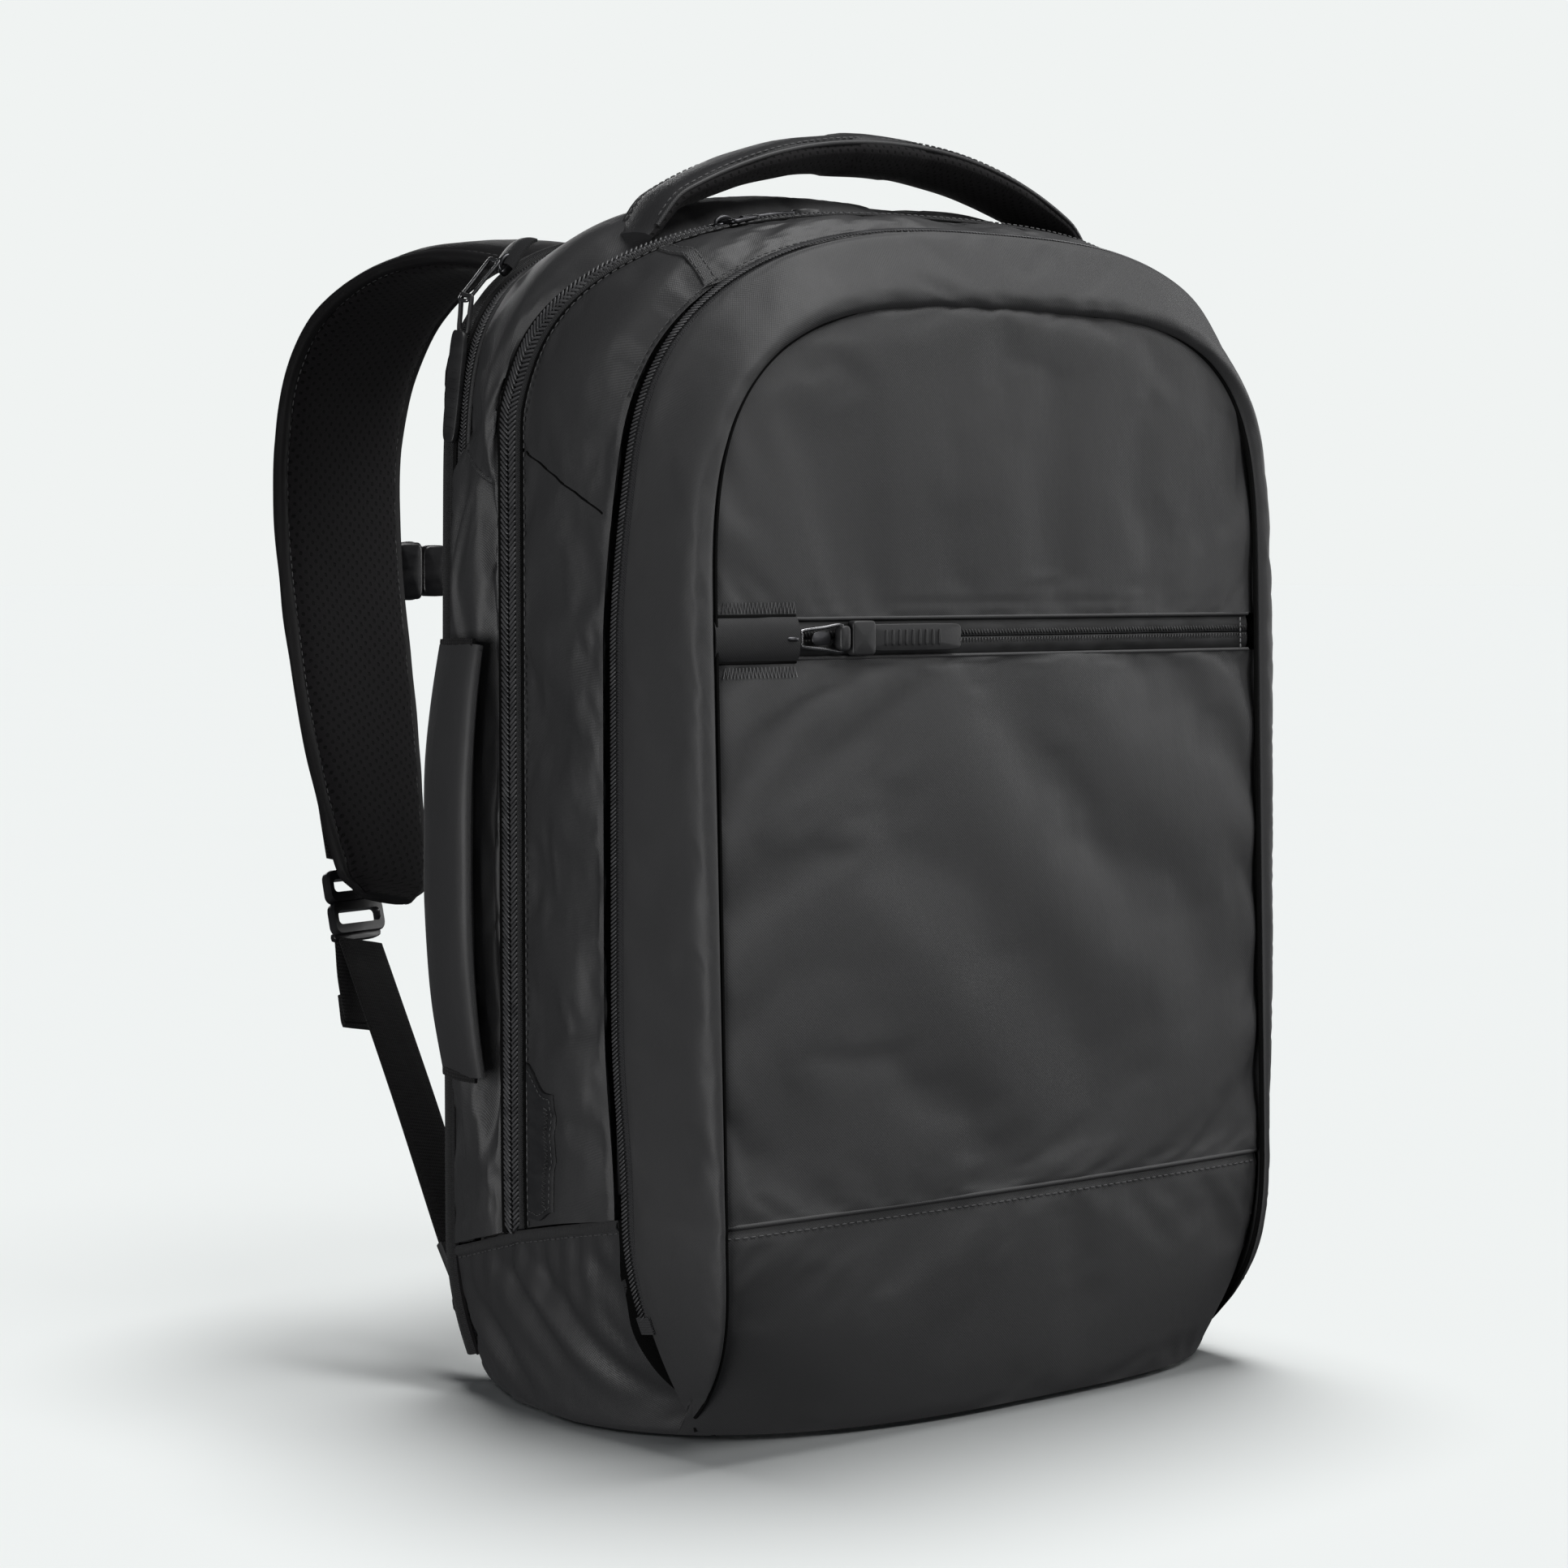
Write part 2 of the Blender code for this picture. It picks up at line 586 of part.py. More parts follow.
# ---- zips --------------------------------------------------------------------------
def build_pocket():
    """The pocket zip across the front: tape, garage, slider, wire and pull tab."""
    half = PANEL_SEAM.half - 0.004
    rows = []
    for z in (POCKET_BOTTOM_Z + GAP, POCKET_TOP_Z - GAP):
        rows.append([Vector((x, front_face(x, z) + 0.0022, z)) for x in
                     (-half * math.cos(math.pi * i / 14) for i in range(15))])
    wall("pocket_zip_tape", rows, "zip_tape", 0.0014, Vector((0, 0.5, 0.25)))
    lining = []
    for z, y in ((0.120, -0.0770), (0.290, -0.0705), (0.3115, -0.0750)):
        lining.append([Vector((x, y, z)) for x in between(-0.125, 0.125, 5)])
    wall("pocket_lining", lining, "lining", 0.0010, Vector((0, 0.5, 0.2)))
    rows = []
    for z in (POCKET_BOTTOM_Z - GAP, POCKET_TOP_Z + GAP):
        rows.append([Vector((x, front_face(x, z) - 0.0050, z))
                     for x in between(GARAGE_LEFT, GARAGE_RIGHT, 5)])
    wall("pocket_zip_garage", rows, "coated_fabric", 0.0014, Vector((0, 0.5, 0.3)))
    build_pocket_slider()


def build_pocket_slider():
    """The slider sits in the garage; its wire comes out and carries the pull tab."""
    x, z = POCKET_SLIDER_X, POCKET_ZIP_Z
    y = front_face(x, z)
    block("pocket_slider", (0.0100, 0.0030, 0.0072), (x, y + 0.0004, z), "gunmetal", 0.0007)
    y -= 0.0021
    wire("pocket_pull_wire", wire_loop(Vector((PULL_START_X, y, z)), Vector((1, 0, 0)),
                                       Vector((0, 0, 1)), PULL_END_X - PULL_START_X),
         0.0007, "gunmetal", cyclic=True)
    length = 0.0575
    block("pocket_pull_tab", (length, 0.0022, 0.0105),
          (PULL_END_X + 0.0012 + length / 2, y - 0.0004, z), "buckle_plastic", 0.0010)


def wire_loop(start, direction, side, length):
    """A loop of bent wire that narrows away from the slider."""
    wide, narrow = side * 0.0046, side * 0.0026
    far = start + direction * (length - 0.0007)
    near_far = start + direction * (length - 0.0020)
    return [start + wide, near_far + narrow, far + narrow * 0.45, far - narrow * 0.45,
            near_far - narrow, start - wide]


def zip_pull(name, start, direction, side, tab_direction, tab_length):
    """A wire loop from the slider, and the tab that hangs from the wire's end."""
    wire(name + "_wire", wire_loop(start, direction, side, PULL_WIRE), 0.0007, "gunmetal",
         cyclic=True)
    first = start + direction * (PULL_WIRE + 0.0002) + tab_direction * 0.0012
    last = first + tab_direction * tab_length
    flat_ribbon(name + "_tab", between(first, last, 2), side, 0.0105, 0.0022, "buckle_plastic")


def build_sliders():
    """Sliders of the main, laptop and front compartment zips, with their pulls."""
    across = Vector((0, 1, 0))
    flat_ribbon("main_slider", between(MAIN_SLIDER - MAIN_DIRECTION * 0.006,
                                       MAIN_SLIDER + MAIN_DIRECTION * 0.006, 2),
                across, 0.0075, 0.0030, "gunmetal")
    zip_pull("main_pull", MAIN_SLIDER + Vector((0, 0, 0.0026)), MAIN_DIRECTION, across,
             MAIN_TAB_DIRECTION, 0.0300)
    flat_ribbon("laptop_slider", between(LAPTOP_SLIDER - LAPTOP_DIRECTION * 0.005,
                                         LAPTOP_SLIDER + LAPTOP_DIRECTION * 0.005, 2),
                across, 0.0065, 0.0030, "gunmetal")
    start = LAPTOP_SLIDER + Vector((-0.0040, 0.0035, 0.0020))
    side = LAPTOP_PULL_DIRECTION.cross(Vector((0.8, 0.2, -0.6))).normalized()
    zip_pull("laptop_pull", start, LAPTOP_PULL_DIRECTION, side, LAPTOP_TAB_DIRECTION, 0.0450)
    block("front_slider", (0.0030, 0.0060, 0.0100), FRONT_SLIDER, "gunmetal", 0.0006)
    down = Vector((0, 0, -1))
    zip_pull("front_pull", FRONT_SLIDER + Vector((0.0026, 0, 0)), down, across, down, 0.0480)


# ---- handles -----------------------------------------------------------------------
def build_top_handle():
    """A padded grab handle that arches over the top of the bag."""
    foot, height = 0.1150, 0.0335
    path, across, widths, thick = [], [], [], []
    for i in range(17):
        u = -1 + 2 * i / 16
        z = HANDLE_FOOT_Z + height * (1 - abs(u) ** 2.1)
        path.append(Vector((foot * u, HANDLE_Y, z)))
        across.append(Vector((0, 1, 0)))
        widths.append(0.0240 + 0.0120 * (1 - abs(u) ** 3))
        thick.append(0.0060 + 0.0080 * (1 - abs(u) ** 3))
    loft("top_handle", ribbon_rings(path, across, widths, thick, 6), "side_fabric")


def build_side_handles():
    """A padded handle on each side, bowed out over a finger gap."""
    low, high = 0.1330, 0.3020
    for side, name in ((-1, "side_handle_left"), (1, "side_handle_right")):
        path, across, widths, thick = [], [], [], []
        for i in range(13):
            u = -1 + 2 * i / 12
            z = (low + high) / 2 + (high - low) / 2 * u
            bow = 0.0070 * (1 - abs(u) ** 2.4)
            path.append(Vector((side * (0.1592 + bow), 0.0580, z)))
            across.append(Vector((side * -0.12, 1, 0)))
            widths.append(0.0270 + 0.0060 * (1 - u ** 2))
            thick.append(0.0070 + 0.0020 * (1 - u ** 2))
        loft(name, ribbon_rings(path, across, widths, thick, 5), "side_fabric")


# ---- shoulder straps ---------------------------------------------------------------
def strap_across(side, share):
    """Width direction: level at the shoulder, turned towards the body lower down."""
    return Vector((-side, 0.30 * min(1.0, share * 2), 0.10 * (1 - share)))


def build_strap(side, tag):
    route = [Vector((side * x, y, z)) for x, y, z, w in STRAP_ROUTE]
    path = smooth_path(route, 2)
    widths = [w for *_, w in STRAP_ROUTE]
    widths = [widths[i // 2] if i % 2 == 0 else (widths[i // 2] + widths[i // 2 + 1]) / 2
              for i in range(len(path))]
    last = len(path) - 1
    thick = [STRAP_THICKNESS * (0.75 if i in (0, last) else 1.0) for i in range(last + 1)]
    across = [strap_across(side, i / last) for i in range(last + 1)]
    loft("shoulder_strap_" + tag, ribbon_rings(path, across, widths, thick, 6), "mesh_fabric")
    build_adjuster(side, tag)


def build_adjuster(side, tag):
    """Ladder lock with the webbing above and below it, and the anchor on the bag."""
    flat = Vector((side, -0.28, 0)).normalized()
    lock = Vector((side * LOCK_CENTRE.x, LOCK_CENTRE.y, LOCK_CENTRE.z))
    slope = Vector((side * -0.10, 0.42, 0.90)).normalized()
    top, low = lock + slope * 0.017, lock - slope * 0.017
    out = flat.cross(slope).normalized()
    if out.y < 0:
        out.negate()
    body = flat_ribbon("ladder_lock_" + tag, between(low, top, 2), flat, 0.0330, 0.0050,
                       "buckle_plastic")
    for along in (-0.0085, 0.0065):
        cut_slot(body, lock + slope * along, flat, slope, out, (0.0262, 0.0056, 0.02))
    above = [top + slope * 0.0016, top + slope * 0.020, top + slope * 0.052 + out * -0.0003]
    flat_ribbon("strap_webbing_" + tag, above, flat, WEBBING, 0.0018, "webbing")
    start = low - slope * 0.0016
    anchor = Vector((side * 0.1280, 0.1060, 0.0560))
    middle = (start + anchor) / 2 + Vector((0, -0.003, -0.003))
    route = smooth_path([start, middle, anchor], 4)
    flat_ribbon("adjuster_webbing_" + tag, route, flat, WEBBING, 0.0018, "webbing")
    tab_end = Vector((side * 0.1290, 0.0935, 0.0420))
    flat_ribbon("strap_anchor_" + tag, between(tab_end, anchor + (tab_end - anchor) * 0.22, 3),
                flat, 0.0270, 0.0035, "webbing")


def cut_slot(obj, centre, flat, slope, out, size):
    """A slot through the ladder lock, square to its face."""
    bm = bmesh.new()
    bmesh.ops.create_cube(bm, size=1.0)
    for vertex in bm.verts:
        a, b, c = vertex.co
        vertex.co = centre + flat * (a * size[0]) + slope * (b * size[1]) + out * (c * size[2])
    if flat.cross(slope).dot(out) < 0:
        bmesh.ops.reverse_faces(bm, faces=bm.faces)
    mesh = bpy.data.meshes.new("slot")
    bm.to_mesh(mesh)
    bm.free()
    cutter = bpy.data.objects.new(obj.name + "_slot", mesh)
    cutter.hide_render = True
    cutter.display_type = "WIRE"
    COLLECTIONS["cutters"].objects.link(cutter)
    boolean = obj.modifiers.new("slot", "BOOLEAN")
    boolean.operation = "DIFFERENCE"
    boolean.solver = "EXACT"
    boolean.object = cutter


def build_sternum_strap():
    """The chest strap: a clip on each shoulder strap and a side-release buckle."""
    y, z = STERNUM_Y, STERNUM_Z
    height = STERNUM_WEBBING
    for side, tag in ((-1, "left"), (1, "right")):
        block("sternum_clip_" + tag, (0.0160, 0.0050, height + 0.008),
              (side * 0.0680, y, z), "buckle_plastic", 0.0012)
    block("buckle_female", (0.0200, 0.0085, height + 0.006), (-0.0485, y, z),
          "buckle_plastic", 0.0015)
    cut(bpy.data.objects["buckle_female"], (-0.0420, y, z), (0.0120, 0.0068, height + 0.0010))
    block("buckle_male", (0.0140, 0.0070, height + 0.004), (-0.0310, y, z), "buckle_plastic",
          0.0012)
    cut(bpy.data.objects["buckle_male"], (-0.0250, y, z), (0.0180, 0.0026, height + 0.0012))
    block("buckle_prongs", (0.0070, 0.0022, height - 0.006), (-0.0420, y, z),
          "buckle_plastic", 0.0004)
    block("sternum_webbing_right", (0.0830, 0.0016, height), (0.0180, y, z), "webbing")


def build():
    start_scene()
    build_back_half()
    build_lid()
    build_front_panel()
    build_sliders()
    build_top_handle()
    build_side_handles()
    for side, tag in ((-1, "left"), (1, "right")):
        build_strap(side, tag)
    build_sternum_strap()


build()
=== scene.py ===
"""Looks of the travel backpack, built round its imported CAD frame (metres, Z up)."""
import math

import bpy
import numpy as np
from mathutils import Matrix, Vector, noise


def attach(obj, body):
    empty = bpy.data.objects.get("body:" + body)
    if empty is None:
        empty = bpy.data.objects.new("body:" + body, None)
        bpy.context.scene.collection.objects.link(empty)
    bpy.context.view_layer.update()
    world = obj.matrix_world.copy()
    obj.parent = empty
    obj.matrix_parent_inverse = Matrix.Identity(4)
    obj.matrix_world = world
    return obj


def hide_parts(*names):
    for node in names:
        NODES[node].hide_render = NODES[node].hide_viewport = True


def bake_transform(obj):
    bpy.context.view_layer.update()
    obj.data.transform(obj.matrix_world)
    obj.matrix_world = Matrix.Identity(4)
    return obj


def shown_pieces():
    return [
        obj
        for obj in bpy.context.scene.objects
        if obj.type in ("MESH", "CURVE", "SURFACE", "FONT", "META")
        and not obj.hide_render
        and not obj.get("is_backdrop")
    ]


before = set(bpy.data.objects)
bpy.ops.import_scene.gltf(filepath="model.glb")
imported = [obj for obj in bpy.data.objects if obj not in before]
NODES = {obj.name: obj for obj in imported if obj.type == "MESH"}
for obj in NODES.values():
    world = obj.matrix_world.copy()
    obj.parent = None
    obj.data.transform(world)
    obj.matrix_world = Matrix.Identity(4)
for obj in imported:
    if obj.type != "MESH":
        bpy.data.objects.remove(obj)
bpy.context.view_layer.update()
SIDES = ((-1, "left"), (1, "right"))
MIDDLE = (0, 0, 0.22)

# ---- dimensions shared with the frame ----------------------------------------------
CLOTH, FACE_CLOTH = 0.0014, 0.0012
SEAM_STITCH = (0.0023, 0.0006, 0.0006)
PAD_STITCH = (0.0024, 0.0006, 0.0005)
BOLD_STITCH = (0.0024, 0.0007, 0.0006)
STITCH_PITCH = 0.0034
CORNER_LINE = (0.377, 0.061, 0.70)
JOIN_LINE = (0.378, 0.020, 0.52)
ARCH = 300
FRONT_Y, LEAN = -0.090, 0.0264
BOOT_FRONT_Z = 0.0888
BASE_HALF, BASE_DEPTH, BASE_MID_Y = 0.1505, 0.108, 0.020
BASE_BACK_Y, BASE_CORNER = 0.084, 0.034
FOOT_POWERS = (2.4, 3.8)
TIP_Z = 0.0088
TIPS = {-1: (0.1315, -0.0540), 1: (0.1400, -0.0600)}
ZIP_TOP, ZIP_LOW = 0.3137, 0.2985
ZIP_Z = (ZIP_TOP + ZIP_LOW) / 2
CROWN = 0.0045
MAIN_ZIP, LAPTOP_ZIP, GROOVE = 0.017, 0.009, 0.006
BAND_FLARE = 0.0060
PAD = 0.0135
HANDLE_Y, HANDLE_FOOT_Z = -0.0020, 0.4690
STERNUM_Y, STERNUM_Z = 0.2665, 0.331
STRAP_ROUTE = (
    (0.066, 0.1015, 0.4560, 0.050), (0.071, 0.1280, 0.4630, 0.060),
    (0.077, 0.1600, 0.4655, 0.066), (0.083, 0.1950, 0.4595, 0.069),
    (0.0885, 0.2270, 0.4430, 0.071), (0.0915, 0.2470, 0.4180, 0.072),
    (0.0935, 0.2545, 0.3880, 0.072), (0.0955, 0.2530, 0.3550, 0.070),
    (0.098, 0.2450, 0.3200, 0.068), (0.1015, 0.2310, 0.2800, 0.065),
    (0.1060, 0.2130, 0.2450, 0.062), (0.1095, 0.1950, 0.2120, 0.058),
    (0.1120, 0.1840, 0.1900, 0.048))


def tuck(z, shape=(0.0030, 0.100, 1.5)):
    most, height, power = shape
    return most * max(0.0, (height - z) / height) ** power


BACK_TUCK = (0.0160, 0.065, 2.0)


def boot_z(y):
    """Height of the boot seam along the side of the bag."""
    return float(np.interp(y, (-0.090, -0.041, -0.005, 0.028, 0.067, 0.078),
                           (0.0888, 0.0870, 0.0800, 0.0730, 0.0620, 0.0592)))


class Seam:
    """An arch-shaped seam, with straight sides below and a superellipse above."""

    def __init__(self, half, top, spring, powers, y_low, y_top, y_from, bend=1.5,
                 tucked=(0.0030, 0.100, 1.5)):
        self.half, self.top, self.spring, self.powers = half, top, spring, powers
        self.y_low, self.y_top, self.y_from, self.bend = y_low, y_top, y_from, bend
        self.tucked = tucked

    def depth(self, z):
        u = max(0.0, (z - self.y_from) / (self.top - self.y_from))
        return self.y_low + (self.y_top - self.y_low) * u ** self.bend

    def top_at(self, x):
        power = self.powers[0] if x < 0 else self.powers[1]
        u = min(1.0, abs(x) / self.half)
        return self.spring + (self.top - self.spring) * (1 - u ** power) ** (1 / power)

    def curve(self, count, inset=0.0, shift=0.0, foot=None, clearance=0.0004):
        """Evenly spaced points: left foot, over the arch, right foot."""
        half, top, spring = self.half - inset, self.top - inset, self.spring
        low = foot if foot is not None else boot_z(self.depth(0.0) + shift) + clearance
        side = [(half - tuck(z, self.tucked), z)
                for z in np.linspace(low, spring, 60, endpoint=False)]
        dense = [(-x, z) for x, z in side]
        for angle in np.linspace(0, math.pi, 160):
            across, up = -math.cos(angle), max(0.0, math.sin(angle))
            power = self.powers[0] if across < 0 else self.powers[1]
            x = half * math.copysign(abs(across) ** (2 / power), across)
            dense.append((x, spring + (top - spring) * up ** (2 / power)))
        dense += reversed(side)
        points = np.array([(x, self.depth(z) + shift, z) for x, z in dense])
        return resample(points, count)


def steps_along(path):
    """Distance from the first point of a polyline to each of its points."""
    return np.concatenate([[0], np.cumsum(np.linalg.norm(np.diff(path, axis=0), axis=1))])


def interpolate(at, along, values):
    return np.stack([np.interp(at, along, values[:, k]) for k in range(3)], 1)


def unit_rows(v):
    return v / np.linalg.norm(v, axis=1, keepdims=True)


def unit(v):
    v = np.asarray(v, float)
    return v / np.linalg.norm(v)


def resample(points, count):
    """The same polyline with evenly spaced points."""
    points = np.asarray(points, float)
    along = steps_along(points)
    return interpolate(np.linspace(0, along[-1], count), along, points)


PANEL_TOP = 0.434
PANEL_SEAM = Seam(0.1444, PANEL_TOP, 0.310, (3.2, 4.0), FRONT_Y,
                  FRONT_Y + LEAN * (PANEL_TOP - BOOT_FRONT_Z), BOOT_FRONT_Z, bend=1.0)
GROOVE_SEAM = Seam(0.1528, 0.4624, 0.369, (2.6, 3.0), -0.035, -0.070, 0.305)
LID_RIDGE_SEAM = Seam(0.1546, 0.4665, 0.392, (2.6, 2.9), -0.006, -0.057, 0.345)
MAIN_ZIP_SEAM = Seam(0.1536, 0.4702, 0.410, (2.55, 2.8), 0.022, -0.0436, 0.389)
RIDGE_SEAM = Seam(0.1540, 0.4785, 0.395, (2.9, 3.1), 0.052, 0.012, 0.330)
BACK_SEAM = Seam(0.1482, 0.4690, 0.3562, (3.6, 3.6), 0.078, 0.0745, 0.258, tucked=BACK_TUCK)


def footprint_front(x):
    u = min(1.0, abs(x) / BASE_HALF)
    power = FOOT_POWERS[0] if x < 0 else FOOT_POWERS[1]
    return BASE_MID_Y - BASE_DEPTH * (1 - u ** power) ** (1 / power)


def footprint_half(y, side):
    """Half width of the footprint at a depth y."""
    if y > BASE_BACK_Y - BASE_CORNER:
        into = min(BASE_CORNER, y - (BASE_BACK_Y - BASE_CORNER))
        return BASE_HALF - BASE_CORNER + math.sqrt(BASE_CORNER ** 2 - into ** 2)
    if y > BASE_MID_Y:
        return BASE_HALF
    power = FOOT_POWERS[0] if side < 0 else FOOT_POWERS[1]
    u = min(1.0, (BASE_MID_Y - y) / BASE_DEPTH)
    return BASE_HALF * (1 - u ** power) ** (1 / power)


def front_face(x, z):
    u = min(1.0, abs(x) / PANEL_SEAM.half)
    flat_at_zip = 1 - math.exp(-((z - ZIP_Z) / 0.06) ** 2)
    above = PANEL_SEAM.depth(max(z, BOOT_FRONT_Z)) - CROWN * (1 - u ** 2) * flat_at_zip
    drop = max(0.0, (BOOT_FRONT_Z - z) / BOOT_FRONT_Z)
    return above + (footprint_front(x) - above) * drop ** 2.5


def groove_below(share, side):
    tip_x, tip_y = TIPS[side]
    start = GROOVE_SEAM.depth(0.0) - BAND_FLARE
    half = GROOVE_SEAM.half - tuck(BOOT_FRONT_Z)
    return np.array((side * (half + (tip_x - half) * share ** 2),
                     start + (tip_y - start) * share ** 1.8,
                     BOOT_FRONT_Z + (TIP_Z - BOOT_FRONT_Z) * share))


def panel_below(share, side):
    tip_x, tip_y = TIPS[side]
    edge = PANEL_SEAM.depth(BOOT_FRONT_Z)
    return np.array((side * (PANEL_SEAM.half + (tip_x - PANEL_SEAM.half) * share ** 2),
                     edge + (tip_y - edge) * share ** 3,
                     BOOT_FRONT_Z + (TIP_Z - BOOT_FRONT_Z) * share))


# ---- materials ---------------------------------------------------------------------
MATERIALS = {}


class Graph:
    """A short way to write a material's nodes."""

    def __init__(self, name):
        self.material = bpy.data.materials.new(name)
        self.material.use_nodes = True
        self.tree = self.material.node_tree
        self.shader = self.tree.nodes["Principled BSDF"]
        self.coordinates = self.node("ShaderNodeTexCoord")

    def feed(self, socket, value):
        """Links a socket to another node's output, or sets its own value."""
        if isinstance(value, bpy.types.NodeSocket):
            self.tree.links.new(value, socket)
        else:
            socket.default_value = value

    def node(self, kind, **settings):
        made = self.tree.nodes.new(kind)
        for key, value in settings.items():
            if key.startswith("in_"):
                self.feed(made.inputs[key[3:].replace("_", " ")], value)
            else:
                setattr(made, key, value)
        return made

    def math(self, operation, *values):
        made = self.node("ShaderNodeMath", operation=operation)
        for socket, value in zip(made.inputs, values):
            self.feed(socket, value)
        return made.outputs[0]

    def noise(self, scale, detail=3.0, stretch=None):
        out = self.coordinates.outputs["Object"]
        if stretch is not None:
            out = self.node("ShaderNodeMapping", in_Scale=stretch, in_Vector=out).outputs[0]
        return self.node("ShaderNodeTexNoise", in_Scale=scale, in_Detail=detail,
                         in_Roughness=0.55, in_Vector=out).outputs["Fac"]

    def uv(self):
        split = self.node("ShaderNodeSeparateXYZ", in_Vector=self.coordinates.outputs["UV"])
        return split.outputs[0], split.outputs[1]

    def wave(self, value, pitch):
        """A sine of the value, -1 to 1, with the given pitch in metres."""
        return self.math("SINE", self.math("MULTIPLY_ADD", value, 2 * math.pi / pitch, 0.0))

    def blend(self, factor, low, high, ends=(0.0, 1.0)):
        """A colour between two, by a factor that varies over the surface."""
        made = self.node("ShaderNodeValToRGB")
        self.feed(made.inputs[0], factor)
        for stop, colour, position in zip(made.color_ramp.elements, (low, high), ends):
            stop.color, stop.position = (*colour, 1), position
        return made.outputs[0]

    def bump(self, height, distance, strength=1.0, **below):
        return self.node("ShaderNodeBump", in_Strength=strength, in_Distance=distance,
                         in_Height=height, **below).outputs[0]

    def finish(self, **values):
        for key, value in values.items():
            self.feed(self.shader.inputs[key.replace("_", " ")], value)
        MATERIALS[self.material.name] = self.material


def coated_fabric(name, low, high, rough, pitch=0.0011, weave=0.00004, crease=0.0011,
                  specular=0.5):
    """Coated canvas: fine plain weave under a matt skin, soft creases, faint mottling."""
    g = Graph(name)
    u, v = g.uv()
    threads = g.math("MULTIPLY", g.wave(u, pitch), g.wave(v, pitch))
    fine, broad = g.noise(1400, 2.0), g.noise(9, 3.0)
    soft = g.noise(34, 4.0, (1, 1, 0.55))
    tone = g.math("ADD", g.math("MULTIPLY", broad, 0.55), g.math("MULTIPLY", fine, 0.45))
    shape = g.bump(threads, weave, 0.7, in_Normal=g.bump(soft, crease, 0.5))
    g.finish(Base_Color=g.blend(tone, low, high, (0.36, 0.64)),
             Roughness=g.math("MULTIPLY_ADD", soft, 0.16, rough - 0.08),
             Normal=g.bump(fine, 0.00006, 0.6, in_Normal=shape), Sheen_Weight=0.0,
             Sheen_Roughness=0.45, Specular_IOR_Level=specular)


def perforated_mesh(name, low, high, pitch):
    """Air mesh: staggered round holes in a knitted face."""
    g = Graph(name)
    u, v = g.uv()
    cell = g.math("MULTIPLY", g.wave(u, pitch * 2), g.wave(v, pitch * 2))
    solid = g.node("ShaderNodeMapRange", interpolation_type="SMOOTHSTEP", in_Value=cell,
                   in_From_Min=0.42, in_From_Max=0.66, in_To_Min=1.0, in_To_Max=0.0).outputs[0]
    knit = g.noise(900, 2.0)
    tone = g.math("MULTIPLY", solid, g.math("ADD", g.math("MULTIPLY", knit, 0.7), 0.35))
    g.finish(Base_Color=g.blend(tone, low, high),
             Normal=g.bump(knit, 0.0002, 0.7, in_Normal=g.bump(solid, 0.0009, 0.8)),
             Roughness=0.82, Sheen_Weight=0.02, Sheen_Roughness=0.5, Specular_IOR_Level=0.16)


def ribbed_webbing(name, low, high, pitch=0.0016):
    """Woven webbing: ribs across, finer threads along, fuzzy edge."""
    g = Graph(name)
    u, v = g.uv()
    ribs, threads, fuzz = g.wave(u, pitch), g.wave(v, pitch * 0.8), g.noise(1100, 2.0)
    height = g.math("ADD", g.math("MULTIPLY", ribs, g.math("ADD", threads, 1.6)), fuzz)
    tone = g.math("ADD", g.math("MULTIPLY", fuzz, 0.7), g.math("MULTIPLY", ribs, 0.2))
    g.finish(Base_Color=g.blend(tone, low, high), Normal=g.bump(height, 0.00016, 0.9),
             Roughness=0.72, Sheen_Weight=0.03, Sheen_Roughness=0.4, Specular_IOR_Level=0.3)


def moulded(name, low, high, rough=0.36, grain=520, depth=0.00006, **values):
    """Moulded plastic or rubber with a fine spark-eroded grain and small scuffs."""
    g = Graph(name)
    fine, scuff = g.noise(grain, 3.0), g.noise(70, 5.0, (1, 1, 3))
    g.finish(Base_Color=g.blend(scuff, low, high, (0.35, 0.7)),
             Roughness=g.math("MULTIPLY_ADD", scuff, 0.22, rough - 0.11),
             Normal=g.bump(fine, depth, 0.6), **values)


def spun_thread(name, low, high):
    """Twisted sewing thread."""
    g = Graph(name)
    twist = g.noise(2600, 2.0)
    g.finish(Base_Color=g.blend(twist, low, high), Normal=g.bump(twist, 0.0001, 0.6),
             Roughness=0.55)


